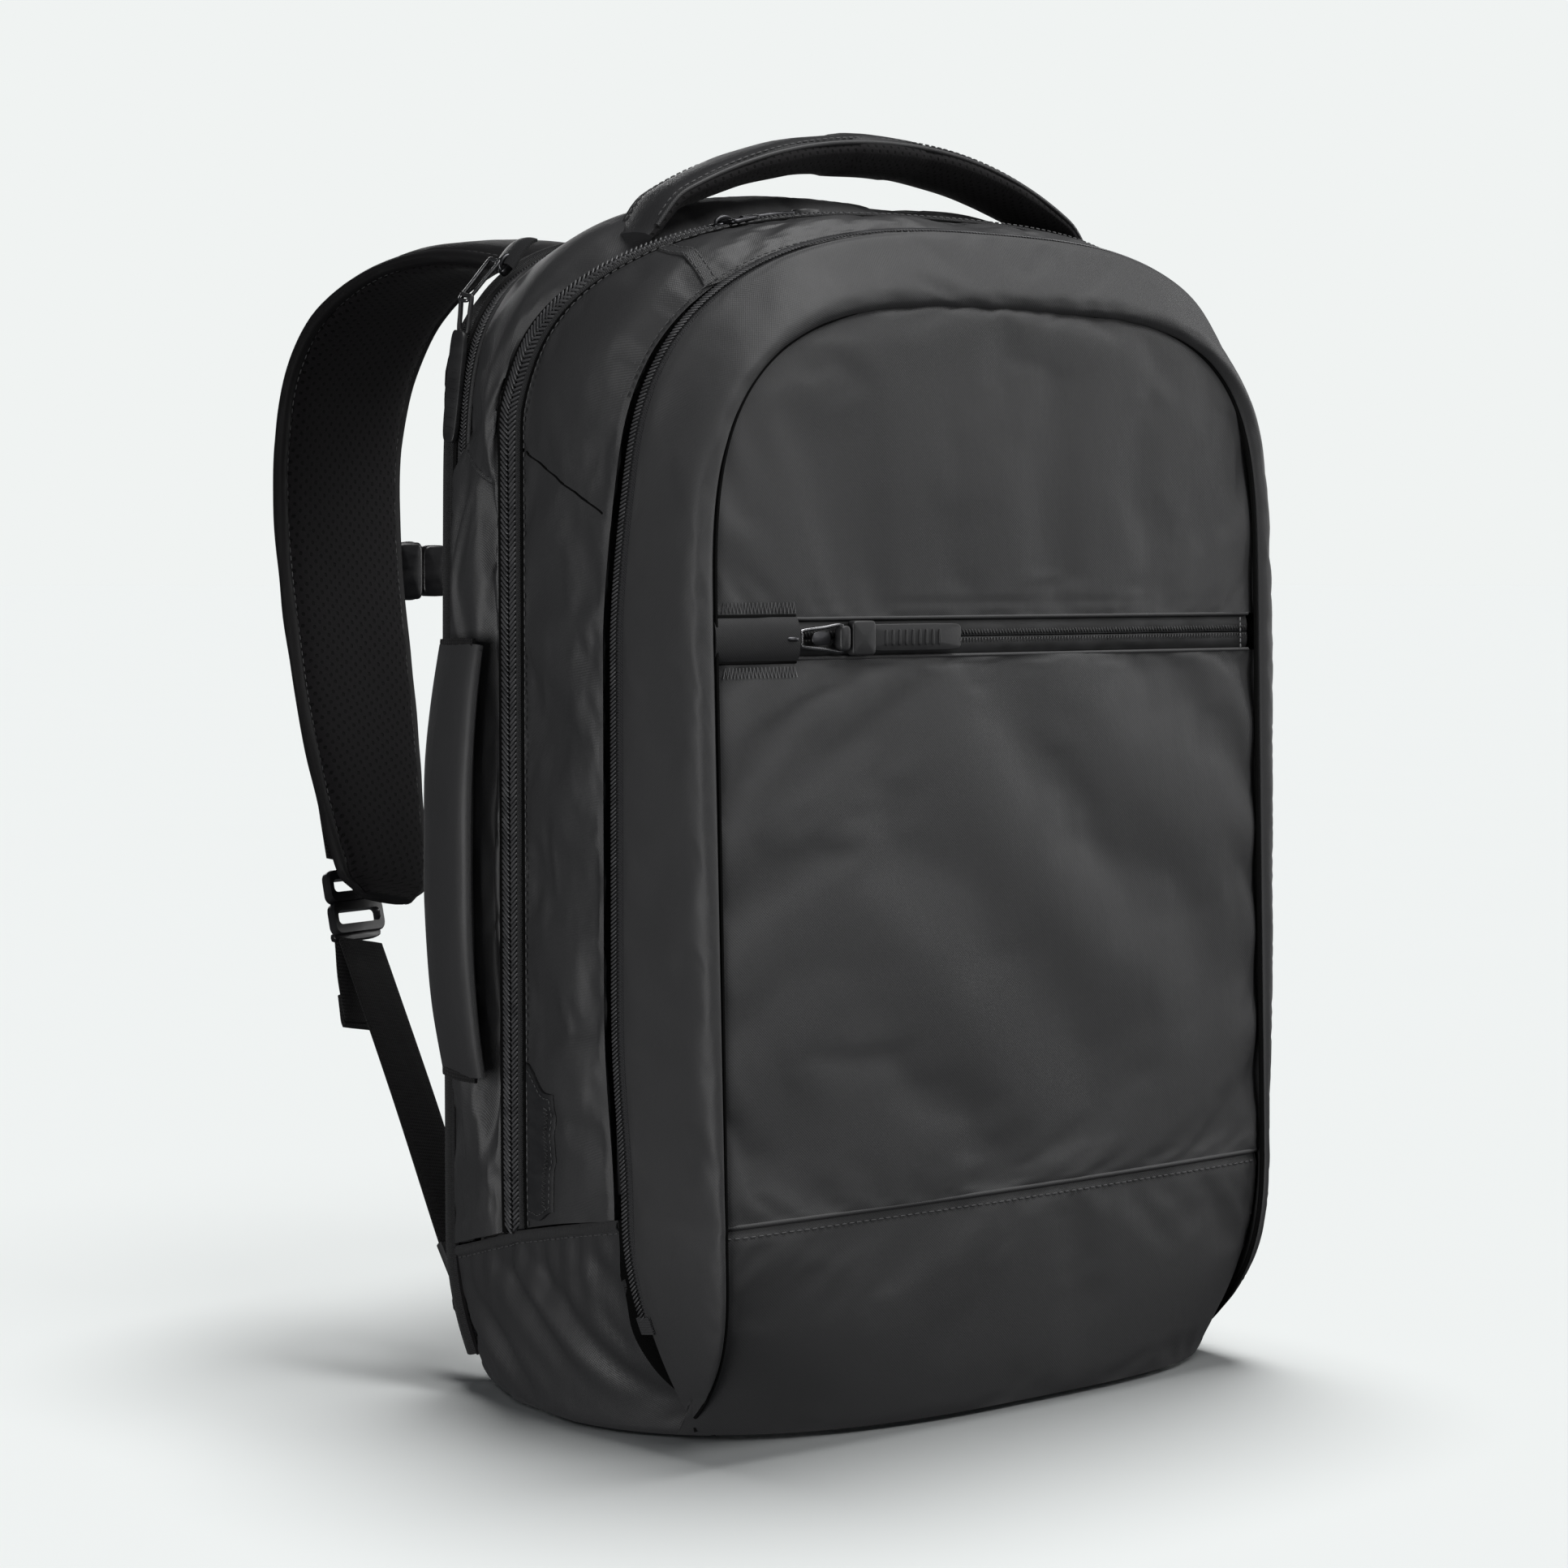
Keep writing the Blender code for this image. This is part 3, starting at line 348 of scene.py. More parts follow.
def make_materials():
    coated_fabric("front_fabric", (0.033, 0.033, 0.034), (0.041, 0.041, 0.042), 0.56)
    coated_fabric("band_fabric", (0.031, 0.031, 0.032), (0.038, 0.038, 0.039), 0.60)
    # The garage flap's cloth is a darker copy of the front fabric: painted shade that keeps its
    # bulge from catching more light than the panel.
    coated_fabric("garage_cloth", (0.016, 0.016, 0.017), (0.021, 0.021, 0.022), 0.62,
                  specular=0.3)
    coated_fabric("gusset_fabric", (0.025, 0.025, 0.026), (0.034, 0.034, 0.035), 0.54,
                  crease=0.0017)
    coated_fabric("boot_fabric", (0.024, 0.024, 0.025), (0.033, 0.033, 0.034), 0.52,
                  crease=0.0019)
    coated_fabric("handle_skin", (0.018, 0.018, 0.019), (0.025, 0.025, 0.026), 0.48,
                  crease=0.0006)
    coated_fabric("strap_skin", (0.0040, 0.0037, 0.0041), (0.0070, 0.0064, 0.0071), 0.62,
                  crease=0.0006, specular=0.25)
    coated_fabric("binding", (0.026, 0.026, 0.027), (0.042, 0.042, 0.043), 0.48,
                  pitch=0.0009, weave=0.00012, crease=0.0003)
    coated_fabric("lining_cloth", (0.085, 0.085, 0.090), (0.125, 0.125, 0.130), 0.6,
                  pitch=0.0050, weave=0.00010)
    perforated_mesh("air_mesh", (0.0004, 0.0004, 0.0005), (0.0100, 0.0088, 0.0100), 0.0029)
    perforated_mesh("fine_mesh", (0.002, 0.002, 0.002), (0.014, 0.013, 0.014), 0.0020)
    ribbed_webbing("webbing_weave", (0.0035, 0.0032, 0.0035), (0.0090, 0.0084, 0.0090))
    ribbed_webbing("zip_weave", (0.028, 0.028, 0.030), (0.060, 0.060, 0.063), 0.0010)
    ribbed_webbing("edge_roll", (0.024, 0.024, 0.025), (0.052, 0.052, 0.054), 0.0008)
    moulded("black_plastic", (0.006, 0.006, 0.007), (0.014, 0.014, 0.015), 0.34)
    moulded("soft_rubber", (0.012, 0.012, 0.013), (0.020, 0.020, 0.021), 0.50, 900)
    moulded("zip_film", (0.012, 0.012, 0.012), (0.024, 0.024, 0.025), 0.36, 1500, 0.00003)
    moulded("coil_nylon", (0.048, 0.048, 0.050), (0.090, 0.090, 0.093), 0.34, 1500, 0.00003)
    moulded("gunmetal_plate", (0.035, 0.035, 0.037), (0.085, 0.085, 0.09), 0.34, 1200, 0.00002,
            Metallic=1.0)
    moulded("polished_wire", (0.14, 0.14, 0.145), (0.26, 0.26, 0.265), 0.26, 1200, 0.00002,
            Metallic=1.0)
    moulded("board", (0.20, 0.20, 0.20), (0.27, 0.27, 0.27), 0.5)
    spun_thread("thread", (0.040, 0.040, 0.041), (0.085, 0.085, 0.087))
    spun_thread("light_thread", (0.120, 0.120, 0.122), (0.23, 0.23, 0.235))
    shade = Graph("seam_shadow")
    shade.finish(Base_Color=shade.blend(shade.noise(300), (0.002, 0.002, 0.002),
                                        (0.004, 0.004, 0.004)), Roughness=0.9,
                 Specular_IOR_Level=0.1)


# ---- mesh building blocks ----------------------------------------------------------
def new_object(name, points, faces, uvs, material, sharp=None):
    mesh = bpy.data.meshes.new(name)
    mesh.from_pydata([tuple(p) for p in points], [], [tuple(f) for f in faces])
    mesh.update()
    layer = mesh.uv_layers.new(name="UVMap")
    index = np.zeros(len(mesh.loops), np.int32)
    mesh.loops.foreach_get("vertex_index", index)
    layer.data.foreach_set("uv", np.asarray(uvs, np.float32)[index].ravel())
    mesh.shade_smooth()
    if sharp is not None:
        mesh.set_sharp_from_angle(angle=math.radians(sharp))
    obj = bpy.data.objects.new(name, mesh)
    bpy.context.scene.collection.objects.link(obj)
    for m in ([material] if isinstance(material, str) else material):
        mesh.materials.append(MATERIALS[m])
    return obj


def normals_of(grid, wrap=False):
    """Unit normals of a grid of points, rows by columns."""
    if wrap:
        du = np.roll(grid, -1, 1) - np.roll(grid, 1, 1)
    else:
        du = np.gradient(grid, axis=1)
    dv = np.gradient(grid, axis=0)
    n = np.cross(du, dv)
    return n / np.maximum(np.linalg.norm(n, axis=2, keepdims=True), 1e-12)


def lengths(grid):
    """Texture coordinates in metres for a grid: along the columns, along the rows."""
    rows, columns = grid.shape[:2]
    u = np.zeros((rows, columns))
    v = np.zeros((rows, columns))
    u[:, 1:] = np.cumsum(np.linalg.norm(np.diff(grid, axis=1), axis=2), axis=1)
    v[1:] = np.cumsum(np.linalg.norm(np.diff(grid, axis=0), axis=2), axis=0)
    u -= u[:, columns // 2:columns // 2 + 1]
    return np.stack([u, v], 2)


def quads(rows, columns, start=0, wrap=False, flip=False):
    r, c = np.meshgrid(np.arange(rows - 1), np.arange(columns if wrap else columns - 1),
                       indexing="ij")
    nxt = (c + 1) % columns
    a, b = start + r * columns + c, start + r * columns + nxt
    d, e = a + columns, b + columns
    faces = np.stack([a, b, e, d], 2).reshape(-1, 4)
    return faces[:, ::-1] if flip else faces


def shell(name, grid, thickness, material, inside=MIDDLE):
    """A closed sheet: the grid is its outer face, `inside` a point it faces away from."""
    grid = np.asarray(grid, float)
    n = normals_of(grid)
    rows, columns = grid.shape[:2]
    centre = rows // 2, columns // 2
    flip = n[centre] @ (grid[centre] - np.array(inside)) < 0
    if flip:
        n = -n
    count = rows * columns
    points = np.concatenate([grid.reshape(-1, 3), (grid - n * thickness).reshape(-1, 3)])
    uv = lengths(grid).reshape(-1, 2)
    border = ([(0, c) for c in range(columns)] + [(r, columns - 1) for r in range(1, rows)]
              + [(rows - 1, c) for c in range(columns - 2, -1, -1)]
              + [(r, 0) for r in range(rows - 2, 0, -1)])
    ring = np.array([r * columns + c for r, c in border])
    nxt = np.roll(ring, -1)
    edge = np.stack([ring, ring + count, nxt + count, nxt], 1)
    faces = [quads(rows, columns, 0, flip=flip), quads(rows, columns, count, flip=not flip),
             edge[:, ::-1] if flip else edge]
    return new_object(name, points, np.concatenate(faces), np.concatenate([uv, uv]), material, 50)


def turned_out(obj):
    """The same closed solid with its faces turned outward."""
    mesh = obj.data
    mesh.calc_loop_triangles()
    co = np.array([v.co for v in mesh.vertices])
    a, b, c = co[np.array([t.vertices for t in mesh.loop_triangles])].transpose(1, 0, 2)
    if np.einsum("ij,ij->i", a, np.cross(b, c)).sum() < 0:
        mesh.flip_normals()
    return obj


def closed_loft(name, rings, material):
    """A closed solid through closed rings, capped with small fans at both ends."""
    rings = np.asarray(rings, float)
    rows, columns = rings.shape[:2]
    around = np.concatenate([np.zeros((rows, 1)), np.cumsum(np.linalg.norm(
        np.diff(rings, axis=1), axis=2), axis=1)], 1)
    along = np.repeat(steps_along(rings.mean(1))[:, None], columns, 1)
    uv = np.stack([along, around], 2).reshape(-1, 2)
    points = np.concatenate([rings.reshape(-1, 3), [rings[0].mean(0), rings[-1].mean(0)]])
    faces = [tuple(f) for f in quads(rows, columns, wrap=True)]
    low, last = rows * columns, (rows - 1) * columns
    for c in range(columns):
        d = (c + 1) % columns
        faces += [(low, d, c), (low + 1, last + c, last + d)]
    obj = new_object(name, points, faces, np.concatenate([uv, uv[[0, -1]]]), material, 55)
    obj.data.validate()
    return turned_out(obj)


def ring_solid(name, rings, material, uv=None, sharp=None):
    """A closed solid whose last ring joins its first."""
    rows, columns = rings.shape[:2]
    points, last = rings.reshape(-1, 3), (rows - 1) * columns
    seam = [(last + c, last + (c + 1) % columns, (c + 1) % columns, c) for c in range(columns)]
    faces = np.concatenate([quads(rows, columns, wrap=True), seam])
    uv = points[:, [0, 2]] if uv is None else uv
    return turned_out(new_object(name, points, faces, uv, material, sharp))


def tube(name, path, radius, material, sides=8, flat=1.0, normals=None, closed=False):
    """A round or flattened cord along a path."""
    path = np.asarray(path, float)
    ahead = np.roll(path, -1, 0) - np.roll(path, 1, 0) if closed else np.gradient(path, axis=0)
    ahead = unit_rows(ahead)
    if normals is None:
        normal, normals = np.cross(ahead[0], (0.31, 0.17, 0.93)), []
        for t in ahead:
            normal = normal - t * (normal @ t)
            normal /= np.linalg.norm(normal)
            normals.append(normal)
        normals = np.array(normals)
    side = np.cross(ahead, normals)
    side /= np.maximum(np.linalg.norm(side, axis=1, keepdims=True), 1e-9)
    radius = np.broadcast_to(np.asarray(radius, float), (len(path),))[:, None]
    angles = np.linspace(0, 2 * math.pi, sides, endpoint=False)
    rings = np.stack([path + side * radius * math.cos(a) + normals * radius * flat * math.sin(a)
                      for a in angles], 1)
    if not closed:
        return closed_loft(name, rings, material)
    uv = np.stack(np.meshgrid(np.linspace(0, 1, len(path)), np.linspace(0, 1, sides),
                              indexing="ij"), 2).reshape(-1, 2)
    return ring_solid(name, rings, material, uv)


def smooth_line(points, steps):
    """A smooth curve through the points (Catmull-Rom)."""
    points = np.asarray(points, float)
    ends = np.concatenate([[2 * points[0] - points[1]], points, [2 * points[-1] - points[-2]]])
    path = []
    for a, b, c, d in zip(ends, ends[1:], ends[2:], ends[3:]):
        for t in np.linspace(0, 1, steps, endpoint=False):
            path.append(0.5 * (2 * b + (c - a) * t + (2 * a - 5 * b + 4 * c - d) * t ** 2
                               + (3 * b - a - 3 * c + d) * t ** 3))
    return np.array(path + [points[-1]])


def repeat_along(name, path, normals, pitch, size, material):
    """Small rounded bars at an even pitch: stitches, or the teeth of a zip."""
    path = np.asarray(path, float)
    normals = np.broadcast_to(np.asarray(normals, float), path.shape)
    along = steps_along(path)
    count = max(1, int(along[-1] / pitch))
    at = (np.arange(count) + 0.5) * pitch
    place, t, n = (interpolate(at, along, v) for v in (path, np.gradient(path, axis=0), normals))
    t = unit_rows(t)
    n = unit_rows(n - t * (n * t).sum(1, keepdims=True))
    local, faces = grain_of(*size)
    points = np.concatenate([p + local[:, :1] * a + local[:, 1:2] * b + local[:, 2:] * c
                             for p, a, b, c in zip(place, t, np.cross(t, n), n)])
    faces = np.concatenate([faces + i * len(local) for i in range(count)])
    return new_object(name, points, faces, points[:, [0, 2]], material)


def grain_of(length, width, height, turn=0.0):
    """A small rounded bar: local points (along, across, up) and its faces."""
    rings, sides = ((-0.5, 0.35), (-0.36, 0.9), (0.0, 1.0), (0.36, 0.9), (0.5, 0.35)), 6
    points = np.array([(a * length, math.cos(angle) * width / 2 * size,
                        math.sin(angle) * height / 2 * size)
                       for a, size in rings
                       for angle in (2 * math.pi * k / sides for k in range(sides))])
    c, s = math.cos(turn), math.sin(turn)
    points = np.stack([points[:, 0] * c - points[:, 1] * s,
                       points[:, 0] * s + points[:, 1] * c, points[:, 2]], 1)
    caps = np.array([(0, 1, 2, 3), (0, 3, 4, 5)])
    return points, np.concatenate([quads(len(rings), sides, wrap=True), caps[:, ::-1],
                                   caps + (len(rings) - 1) * sides])


def value_noise(points, scale, seed=0.0):
    """Smooth noise, -1 to 1, at each point of a grid."""
    flat = points.reshape(-1, 3) * scale + seed
    out = np.array([noise.noise(Vector(p)) for p in flat])
    return out.reshape(points.shape[:-1])


def bell(x, centre, width):
    return np.exp(-((x - centre) / width) ** 2)


def ramp(x, low, high):
    t = np.clip((x - low) / (high - low), 0, 1)
    return t * t * (3 - 2 * t)


def settle(grid, pinned, push=0.5, grow=0.012, cap=0.003, frames=18, seed=1.0, bend=0.6):
    """Lets a sheet held along its seams billow and buckle like slack coated fabric."""
    rows, columns = grid.shape[:2]
    n = normals_of(grid)
    start = grid + n * (value_noise(grid, 26, seed) * 0.0005)[..., None] * ~pinned[..., None]
    mesh = bpy.data.meshes.new("cloth")
    mesh.from_pydata([tuple(p) for p in start.reshape(-1, 3)], [],
                     [tuple(f) for f in quads(rows, columns)])
    obj = bpy.data.objects.new("cloth", mesh)
    bpy.context.scene.collection.objects.link(obj)
    group = obj.vertex_groups.new(name="held")
    group.add([int(i) for i in np.flatnonzero(pinned.ravel())], 1.0, "REPLACE")
    cloth = obj.modifiers.new("cloth", "CLOTH")
    s = cloth.settings
    s.quality, s.mass, s.time_scale = 6, 0.25, 0.9
    s.tension_stiffness = s.compression_stiffness = 18
    s.shear_stiffness, s.bending_stiffness = 8, bend
    s.tension_damping = s.compression_damping = 20
    s.air_damping = 6
    s.vertex_group_mass = "held"
    s.pin_stiffness = 1
    s.shrink_min = -grow
    s.use_pressure = True
    s.uniform_pressure_force = push
    s.effector_weights.gravity = 0
    cloth.collision_settings.use_collision = False
    cloth.point_cache.frame_start, cloth.point_cache.frame_end = 1, frames
    scene = bpy.context.scene
    for f in range(1, frames + 1):
        scene.frame_set(f)
    solved = obj.evaluated_get(bpy.context.evaluated_depsgraph_get())
    co = np.zeros(rows * columns * 3, np.float32)
    solved.data.vertices.foreach_get("co", co)
    move = co.reshape(grid.shape) - grid
    size = np.linalg.norm(move, axis=2, keepdims=True)
    move *= np.minimum(1.0, cap * np.tanh(size / cap) / np.maximum(size, 1e-9))
    bpy.data.objects.remove(obj)
    scene.frame_set(1)
    return grid + move


def edges_of(grid, width=1):
    held = np.zeros(grid.shape[:2], bool)
    held[:width], held[-width:], held[:, :width], held[:, -width:] = True, True, True, True
    return held


def down_rows(grid):
    """0 to 1 from the first row of a grid to its last."""
    rows, columns = grid.shape[:2]
    return np.linspace(0, 1, rows)[:, None] * np.ones((1, columns))


def put(obj, body, *nodes, slot=None, padded=None):
    """Places a piece: parents it to the empty of the body it rides on, or, given two bodies and two
    points, bakes its transform where it stands; hides the CAD nodes it replaces. The slot, its
    finish, is not used.
    """
    if isinstance(body, str):
        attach(obj, body)
    else:
        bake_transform(obj)
    if nodes:
        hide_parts(*nodes)
    return obj


LID_FOLD = ("root", "lid", (0.0, 0.022, 0.075), (0.0, -0.0248, 0.102))
HANDLE_FOLD = ("root", "top_handle", (0.0, HANDLE_Y, 0.4660), (0.0, HANDLE_Y, 0.4860))


# ---- seams of the bag as dense curves ----------------------------------------------


def flared(points):
    """The groove comes forward a little towards the boot seam."""
    out = points.copy()
    out[:, 1] -= BAND_FLARE * (1 - ramp(points[:, 2], BOOT_FRONT_Z, 0.175)) ** 1.5
    return out


def groove_curve(inset=0.0, shift=0.0, count=ARCH):
    return flared(GROOVE_SEAM.curve(count, inset, shift))


def groove_run(inset=0.0, shift=0.0, lowest=0.048):
    """The groove with its two tails, which run down beside the band into the boot."""
    arch = groove_curve(inset, shift)
    tails = []
    for side in (-1, 1):
        share = np.linspace((BOOT_FRONT_Z - lowest) / (BOOT_FRONT_Z - TIP_Z), 0.02, 22)
        tails.append(np.array([groove_below(s, side) + (-side * inset, shift, 0) for s in share]))
    join = arch[arch[:, 2] > BOOT_FRONT_Z + 0.002]
    return resample(np.concatenate([tails[0], join, tails[1][::-1]]), ARCH + 60)


def zip_curve(inset=0.0, shift=0.0, count=ARCH):
    return MAIN_ZIP_SEAM.curve(count, inset, shift)


def between_rows(stations, count):
    """A smooth surface through a few station curves, with `count` rows."""
    stations = np.asarray(stations, float)
    gaps = np.linalg.norm(np.diff(stations, axis=0), axis=2).mean(1)
    knots = np.concatenate([[0], np.cumsum(gaps)]) / gaps.sum()
    rows = []
    for t in np.linspace(0, 1, count):
        k = min(len(knots) - 2, int(np.searchsorted(knots, t, "right")) - 1)
        u = (t - knots[k]) / (knots[k + 1] - knots[k])
        p1, p2 = stations[k], stations[k + 1]
        p0 = stations[k - 1] if k > 0 else 2 * p1 - p2
        p3 = stations[k + 2] if k + 2 < len(stations) else 2 * p2 - p1
        rows.append(0.5 * (2 * p1 + (p2 - p0) * u + (2 * p0 - 5 * p1 + 4 * p2 - p3) * u ** 2
                           + (3 * p1 - p0 - 3 * p2 + p3) * u ** 3))
    return np.array(rows)


def outward_normals(grid, centre=MIDDLE):
    n = normals_of(grid)
    r, c = grid.shape[0] // 2, grid.shape[1] // 2
    if n[r, c] @ (grid[r, c] - np.array(centre)) < 0:
        n = -n
    return n


def strip(a, b, rows=3):
    """A plain grid between two curves."""
    t = np.linspace(0, 1, rows)[:, None, None]
    return a[None] * (1 - t) + b[None] * t


def stitch(name, path, up, pitch, size, body, material="thread", slot=None):
    return put(repeat_along(name, path, up, pitch, size, material), body, slot=slot)


def near_point(flat, values, key, target, count, soft):
    """Weighted mean of the values whose keys lie nearest the target."""
    d = ((key - np.asarray(target)) ** 2).sum(1)
    near = np.argsort(d)[:count]
    w = 1 / (d[near] + soft)
    w /= w.sum()
    return (flat[near] * w[:, None]).sum(0), (values[near] * w[:, None]).sum(0)


def on_grid(grid, targets, axes, side=None):
    """Points and normals of a surface where two of its coordinates match the targets."""
    flat, n = grid.reshape(-1, 3), outward_normals(grid).reshape(-1, 3)
    if side is not None:
        keep = flat[:, 0] * side > 0
        flat, n = flat[keep], n[keep]
    found = [near_point(flat, n, flat[:, axes], target, 4, 1e-9) for target in targets]
    points, normals = (np.array(part) for part in zip(*found))
    points[:, list(axes)] = targets
    return points, normals


# ---- body pieces -------------------------------------------------------------------
def rear_gusset():
    """The wide gusset behind the main zip, with the slack side panels under the handles."""
    edge = BACK_SEAM.curve(ARCH, 0, -LAPTOP_ZIP - 0.0014)
    cover = ramp(-edge[:, 2], -0.384, -0.366)[:, None]
    edge = edge * (1 - cover) + BACK_SEAM.curve(ARCH, -0.0022, -0.0004) * cover
    grid = between_rows([zip_curve(0, MAIN_ZIP + 0.0006), RIDGE_SEAM.curve(ARCH, -0.001),
                         edge], 44)
    n, v = outward_normals(grid), down_rows(grid)
    y, z = grid[..., 1], grid[..., 2]
    on_side = ramp(-z, -0.385, -0.350) * ramp(z, 0.085, 0.130)
    puff = 0.0016 * np.sin(math.pi * v)
    hollow = -0.0072 * bell(y, 0.0455, 0.0034) * on_side
    bend = 0.0600 + 0.0060 * np.sin((z - 0.300) * 62) * ramp(z, 0.27, 0.30)
    fold = 0.0018 * bell(y, bend, 0.0028) * on_side
    fold -= 0.0014 * bell(y, bend + 0.0065, 0.0032) * on_side
    soft = 0.0011 * value_noise(grid * (1, 1, 0.6), 24, 3.1)
    rolled = -0.0018 * (bell(v, 0, 0.03) + bell(v, 1, 0.03))
    seam = -0.0011 * bell(z - corner_line(y), 0, 0.0013) * (y > 0.038)
    grid = grid + n * (puff + hollow + fold + soft * np.sin(math.pi * v) + rolled + seam)[..., None]
    grid = settle(grid, edges_of(grid), 0.35, 0.010, 0.0024, 14, 4.0)
    put(shell("rear_gusset", grid, CLOTH, "gusset_fabric"), "root", "back_gusset")
    for side, tag in SIDES:
        path, up = on_grid(grid, [(y, corner_line(y)) for y in np.linspace(0.0415, 0.0645, 30)],
                           (1, 2), side)
        put(tube("corner_binding_" + tag, path + up * 0.0003, 0.0011, "binding", 8, 0.6, up),
            "root")


def corner_line(y):
    """Height of the slanting seam over the side panel of the rear gusset."""
    high, back, slope = CORNER_LINE
    return high - (back - y) * slope


def join_line(y):
    """Height of the slanting seam in the front gusset."""
    high, back, slope = JOIN_LINE
    return high - (back - y) * slope


def front_gusset():
    """The gusset between the groove and the main zip, which opens as the lid."""
    grid = between_rows([groove_curve(0, GROOVE + 0.0016), LID_RIDGE_SEAM.curve(ARCH),
                         zip_curve(0, -0.0004)], 36)
    n, v = outward_normals(grid), down_rows(grid)
    y, z = grid[..., 1], grid[..., 2]
    puff = 0.0013 * np.sin(math.pi * v) ** 1.5
    soft = 0.0015 * value_noise(grid * (1, 1, 0.5), 21, 7.7) * np.sin(math.pi * v)
    rolled = -0.0008 * bell(v, 0, 0.02)
    seam = -0.0008 * bell(z, join_line(y), 0.0012)
    grid = grid + n * (puff + soft + rolled + seam)[..., None]
    grid = settle(grid, edges_of(grid), 0.35, 0.010, 0.0024, 14, 9.0)
    put(shell("front_gusset_skin", grid, CLOTH, "gusset_fabric"), LID_FOLD, "front_gusset")
    for side, tag in SIDES:
        # A near-black cord along each slanting seam: painted shade in the seam's dent.
        path, up = on_grid(grid, [(y, join_line(y)) for y in np.linspace(0.0185, -0.0285, 40)],
                           (1, 2), side)
        put(tube("gusset_join_shade_" + tag, path + up * 0.0001, 0.00045, "seam_shadow", 6), "lid")
    return grid


def boot_grid(side, rows=34, columns=44):
    """The side of the boot, from the groove to the back panel, rounded under at the floor."""
    base = 0.0012
    grid = np.zeros((rows, columns, 3))
    for j in range(rows):
        share = 1 - (1 - j / (rows - 1)) ** 1.15
        edge = groove_below(min(share * 1.06, 1.0), side)
        y0 = edge[1] + 0.0040 - 0.0030 * share
        for i in range(columns):
            u = i / (columns - 1)
            y = y0 + (BACK_SEAM.y_low - 0.0004 - y0) * u
            z = base + (boot_z(y) - 0.0004 - base) * (1 - share)
            at_back = tuck(z, BACK_TUCK) - tuck(z)
            wall = (GROOVE_SEAM.half - tuck(z) - at_back * u ** 4
                    - (GROOVE_SEAM.half - BACK_SEAM.half) * u ** 3)
            low = min(wall, footprint_half(y, side))
            t = ramp(-z, -0.060, -0.004) ** 1.6
            x = wall + (low - wall) * t
            under = max(0.0, 0.009 - z) / 0.009
            x -= 0.0040 * (1 - math.sqrt(max(0.0, 1 - under ** 2)))
            grid[j, i] = (side * x, y, z)
    return grid


def boot_sides():
    """The darker panels that wrap the sides of the boot, with slanting tension folds."""
    inside = (0, 0.02, 0.05)
    for side, tag in SIDES:
        grid = boot_grid(side)
        n, v = outward_normals(grid, inside), down_rows(grid)
        y, z = grid[..., 1], grid[..., 2]
        rows, columns = grid.shape[:2]
        u = np.ones((rows, 1)) * np.linspace(0, 1, columns)[None]
        fall = ramp(v, 0.02, 0.25) * ramp(-v, -0.97, -0.55)
        gather = ramp(v, 0.01, 0.10) * ramp(-v, -0.50, -0.12)
        waves = 0.0028 * np.sin((y - 0.85 * z) * 165 + 1.4 * np.sin(z * 55 + 0.6)) * fall
        waves += 0.0017 * np.sin((y - 1.4 * z) * 240 + 2.0) * fall
        waves += 0.0008 * np.sin(y * 520 - z * 120) * gather
        waves *= 0.70 + 0.55 * value_noise(grid, 15, 2.3)
        away = np.sin(math.pi * np.clip(u, 0.02, 0.98)) ** 0.5
        grid = grid + n * ((waves + 0.0012 * np.sin(math.pi * v)) * away)[..., None]
        grid = settle(grid, edges_of(grid), 0.3, 0.010, 0.0022, 14, 12.0 + side)
        put(shell("boot_skin_" + tag, grid, CLOTH, "boot_fabric", inside), LID_FOLD,
            "boot_side_" + tag)
        # A near-black sheet fills the gutter between the boot side and the band: painted shade of
        # the gap.
        beside = np.array([groove_below(s, side) + (side * -0.0022, 0.0005, 0)
                           for s in np.linspace(0, 1, rows)])
        beside[:, 2] = np.minimum(beside[:, 2], BOOT_FRONT_Z)
        beside[-1, 2] = 0.004
        first = grid[:, 0]
        gutter = np.array([first, first + (side * -0.0012, -0.0004, 0),
                           beside + (side * -0.0016, 0.0012, 0), beside]).transpose(1, 0, 2)
        put(shell("boot_gutter_shade_" + tag, gutter, 0.0008, "seam_shadow", inside), LID_FOLD)
        up = outward_normals(grid, inside)[0]
        lean = unit_rows(grid[3] - grid[0])
        edge = grid[0] + up * 0.0004
        roll = np.array([edge, edge + lean * 0.0012 + up * 0.0010,
                         edge + lean * 0.0030 + up * 0.0010, edge + lean * 0.0042])
        put(shell("boot_binding_" + tag, roll, 0.0006, "edge_roll", inside), LID_FOLD)
        stitch("boot_stitch_" + tag, edge + lean * 0.0050, up, 0.0032,
               (0.0022, 0.0006, 0.0005), LID_FOLD)


def base():
    """The bottom of the boot: the fabric wraps round a board."""
    rings = []
    for inset, z in ((0.020, 0.0006), (0.0068, 0.0004), (0.0048, 0.0014), (0.0046, 0.0070)):
        half, outline = BASE_HALF - inset, []
        for a in np.linspace(0, 2 * math.pi, 160, endpoint=False):
            c, s = math.cos(a), math.sin(a)
            power, depth = 3.4, BASE_BACK_Y - BASE_MID_Y - inset
            if s < 0:
                power, depth = FOOT_POWERS[0 if c < 0 else 1], BASE_DEPTH - inset
            outline.append((half * math.copysign(abs(c) ** (2 / power), c),
                            BASE_MID_Y + depth * math.copysign(abs(s) ** (2 / power), s), z))
        rings.append(outline)
    put(closed_loft("base_skin", rings, "boot_fabric"), "root", "base_panel")


